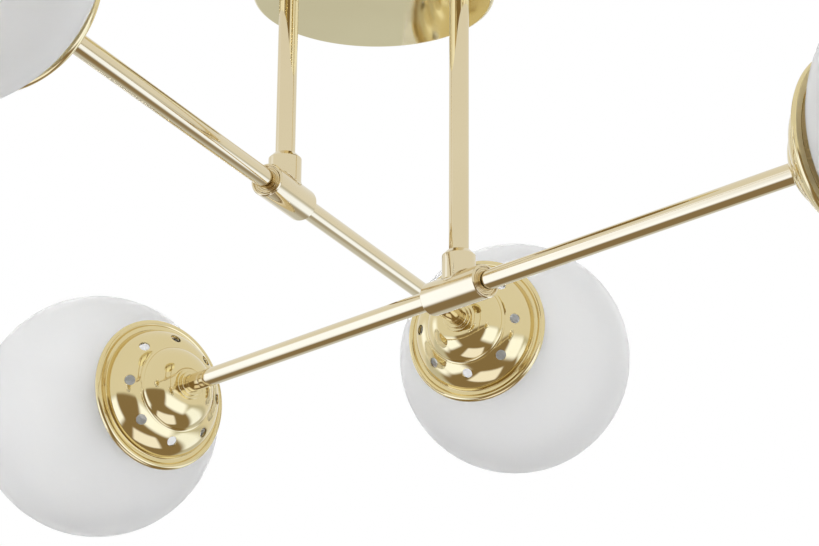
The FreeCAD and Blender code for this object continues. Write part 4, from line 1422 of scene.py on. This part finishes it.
@dataclass(frozen=True)
class Studio:
    """Pale room round the light: floor, soft lamps and what the metal mirrors."""

    floor_height: float = -5.2
    floor_half: float = 16.0
    ambient: float = 1.05
    white: Colour = (1.0, 1.0, 1.0)
    pale: Colour = (0.86, 0.86, 0.84)
    soffit: Colour = (0.645, 0.66, 0.65)
    dark: Colour = (0.29, 0.22, 0.13)
    soffit_edge: Span = (-0.15, -0.03)
    dark_edge: Span = (-0.62, -0.43)
    target: Vector = Vector((0, 0, -0.15))
    lamps: tuple[Softbox, ...] = (
        Softbox("softbox_left", Vector((-2.1, -0.7, 0.55)), (1.5, 1.2), 10.0),
        Softbox("softbox_back", Vector((1.4, 2.2, 0.7)), (1.4, 1.0), 7.0),
    )
    panels: tuple[MirroredPanel, ...] = (
        MirroredPanel(-9, -34, 74, 60, (0.29, 0.22, 0.13)),
        MirroredPanel(54, -26, 50, 36, (1.3, 1.45, 1.9), 7.0),
        MirroredPanel(118, -26, 58, 22, (1.2, 1.35, 1.75), 6.0),
        MirroredPanel(-93, -10, 24, 58, (1.3, 1.45, 1.9), 9.0),
        MirroredPanel(-62, -26, 34, 36, (1.3, 1.45, 1.9), 6.0),
        MirroredPanel(20, -84, 44, 36, (1.15, 1.2, 1.45), 4.0),
    )

    def floor(self) -> None:
        """Pale floor far below, which keeps the object's shadow."""
        half, z = self.floor_half, self.floor_height
        mesh = bpy.data.meshes.new("floor")
        corners = [(-half, -half, z), (half, -half, z), (half, half, z), (-half, half, z)]
        mesh.from_pydata(corners, [], [(0, 1, 2, 3)])
        mesh.materials.append(FloorPaint("floor_paint").make())
        item = add_object("floor", mesh)
        item.visible_glossy = False
        item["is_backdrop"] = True

    def world(self) -> None:
        """White background, even light, and a room for the metal to mirror."""
        world = bpy.data.worlds.new("studio")
        bpy.context.scene.world = world
        room = Room(world)
        mirrored = room.mixed(room.smooth(room.height, *self.soffit_edge), self.soffit, self.pale)
        mirrored = room.mixed(room.smooth(room.height, *self.dark_edge), self.dark, mirrored)
        for panel in self.panels:
            mirrored = room.panel(mirrored, panel)
        path = room.node("LightPath").outputs
        unseen = room.choose(path["Is Glossy Ray"], room.background((self.ambient,) * 3),
                             room.background(mirrored))
        seen = room.sum("MAXIMUM", path["Is Camera Ray"], path["Is Transmission Ray"])
        room.node("OutputWorld", Surface=room.choose(seen, unseen, room.background(self.white)))

    def set_up(self) -> None:
        """Build floor, world and lamps."""
        self.floor()
        self.world()
        for lamp in self.lamps:
            lamp.set_up(self.target)
        bpy.context.scene.view_settings.view_transform = "Standard"


@dataclass(frozen=True)
class Viewpoint:
    """Camera of the photograph's view, in metres and degrees."""

    place: Vector = Vector((0.1439, -1.1873, -0.5712))
    heading: float = -5.98
    pitch: float = 18.43
    roll: float = 0.43
    lens: float = 111.87
    sensor: float = 36.0
    nearest: float = 0.01
    farthest: float = 50.0

    def set_up(self) -> None:
        """Put the camera in the scene."""
        data = bpy.data.cameras.new("viewpoint")
        data.lens = self.lens
        data.sensor_width = self.sensor
        data.clip_start = self.nearest
        data.clip_end = self.farthest
        heading, pitch = math.radians(self.heading), math.radians(self.pitch)
        level = math.cos(pitch)
        forward = Vector((math.sin(heading) * level, math.cos(heading) * level, math.sin(pitch)))
        turn = forward.to_track_quat("-Z", "Y") @ Quaternion((0, 0, 1), math.radians(self.roll))
        camera = add_object("viewpoint", data)
        camera.location = self.place
        camera.rotation_mode = "QUATERNION"
        camera.rotation_quaternion = turn
        bpy.context.scene.camera = camera


def main() -> None:
    """Build the light, its studio and its camera."""
    logging.basicConfig(level=logging.INFO, format="%(name)s: %(message)s")
    Viewpoint().set_up()
    plan, finishes = Plan(), Finishes()
    kinds = (CeilingCup, CupFittings, DownRod, SwivelTee, ArmTube, BellCap, OpalGlobe, Lamp)
    builders = [kind(plan, finishes) for kind in kinds]
    cup, fittings, rods, tees, tubes, caps, globes, lamps = builders
    cup.build()
    fittings.dress()
    for side in Side:
        rods.build(side)
        tees.build(side)
        for end in End:
            tubes.build(side, end)
            caps.build(side, end)
            globes.build(side, end)
            lamps.dress(side, end)
    for builder in builders:
        LOG.info("%s: %d pieces", type(builder).__name__, len(builder.made))
    Studio().set_up()
    boxes = {"cad": CAD_BOX, "visual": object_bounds()}
    {name: [list(corner) for corner in box] for name, box in boxes.items()}


if __name__ == "__main__":
    main()
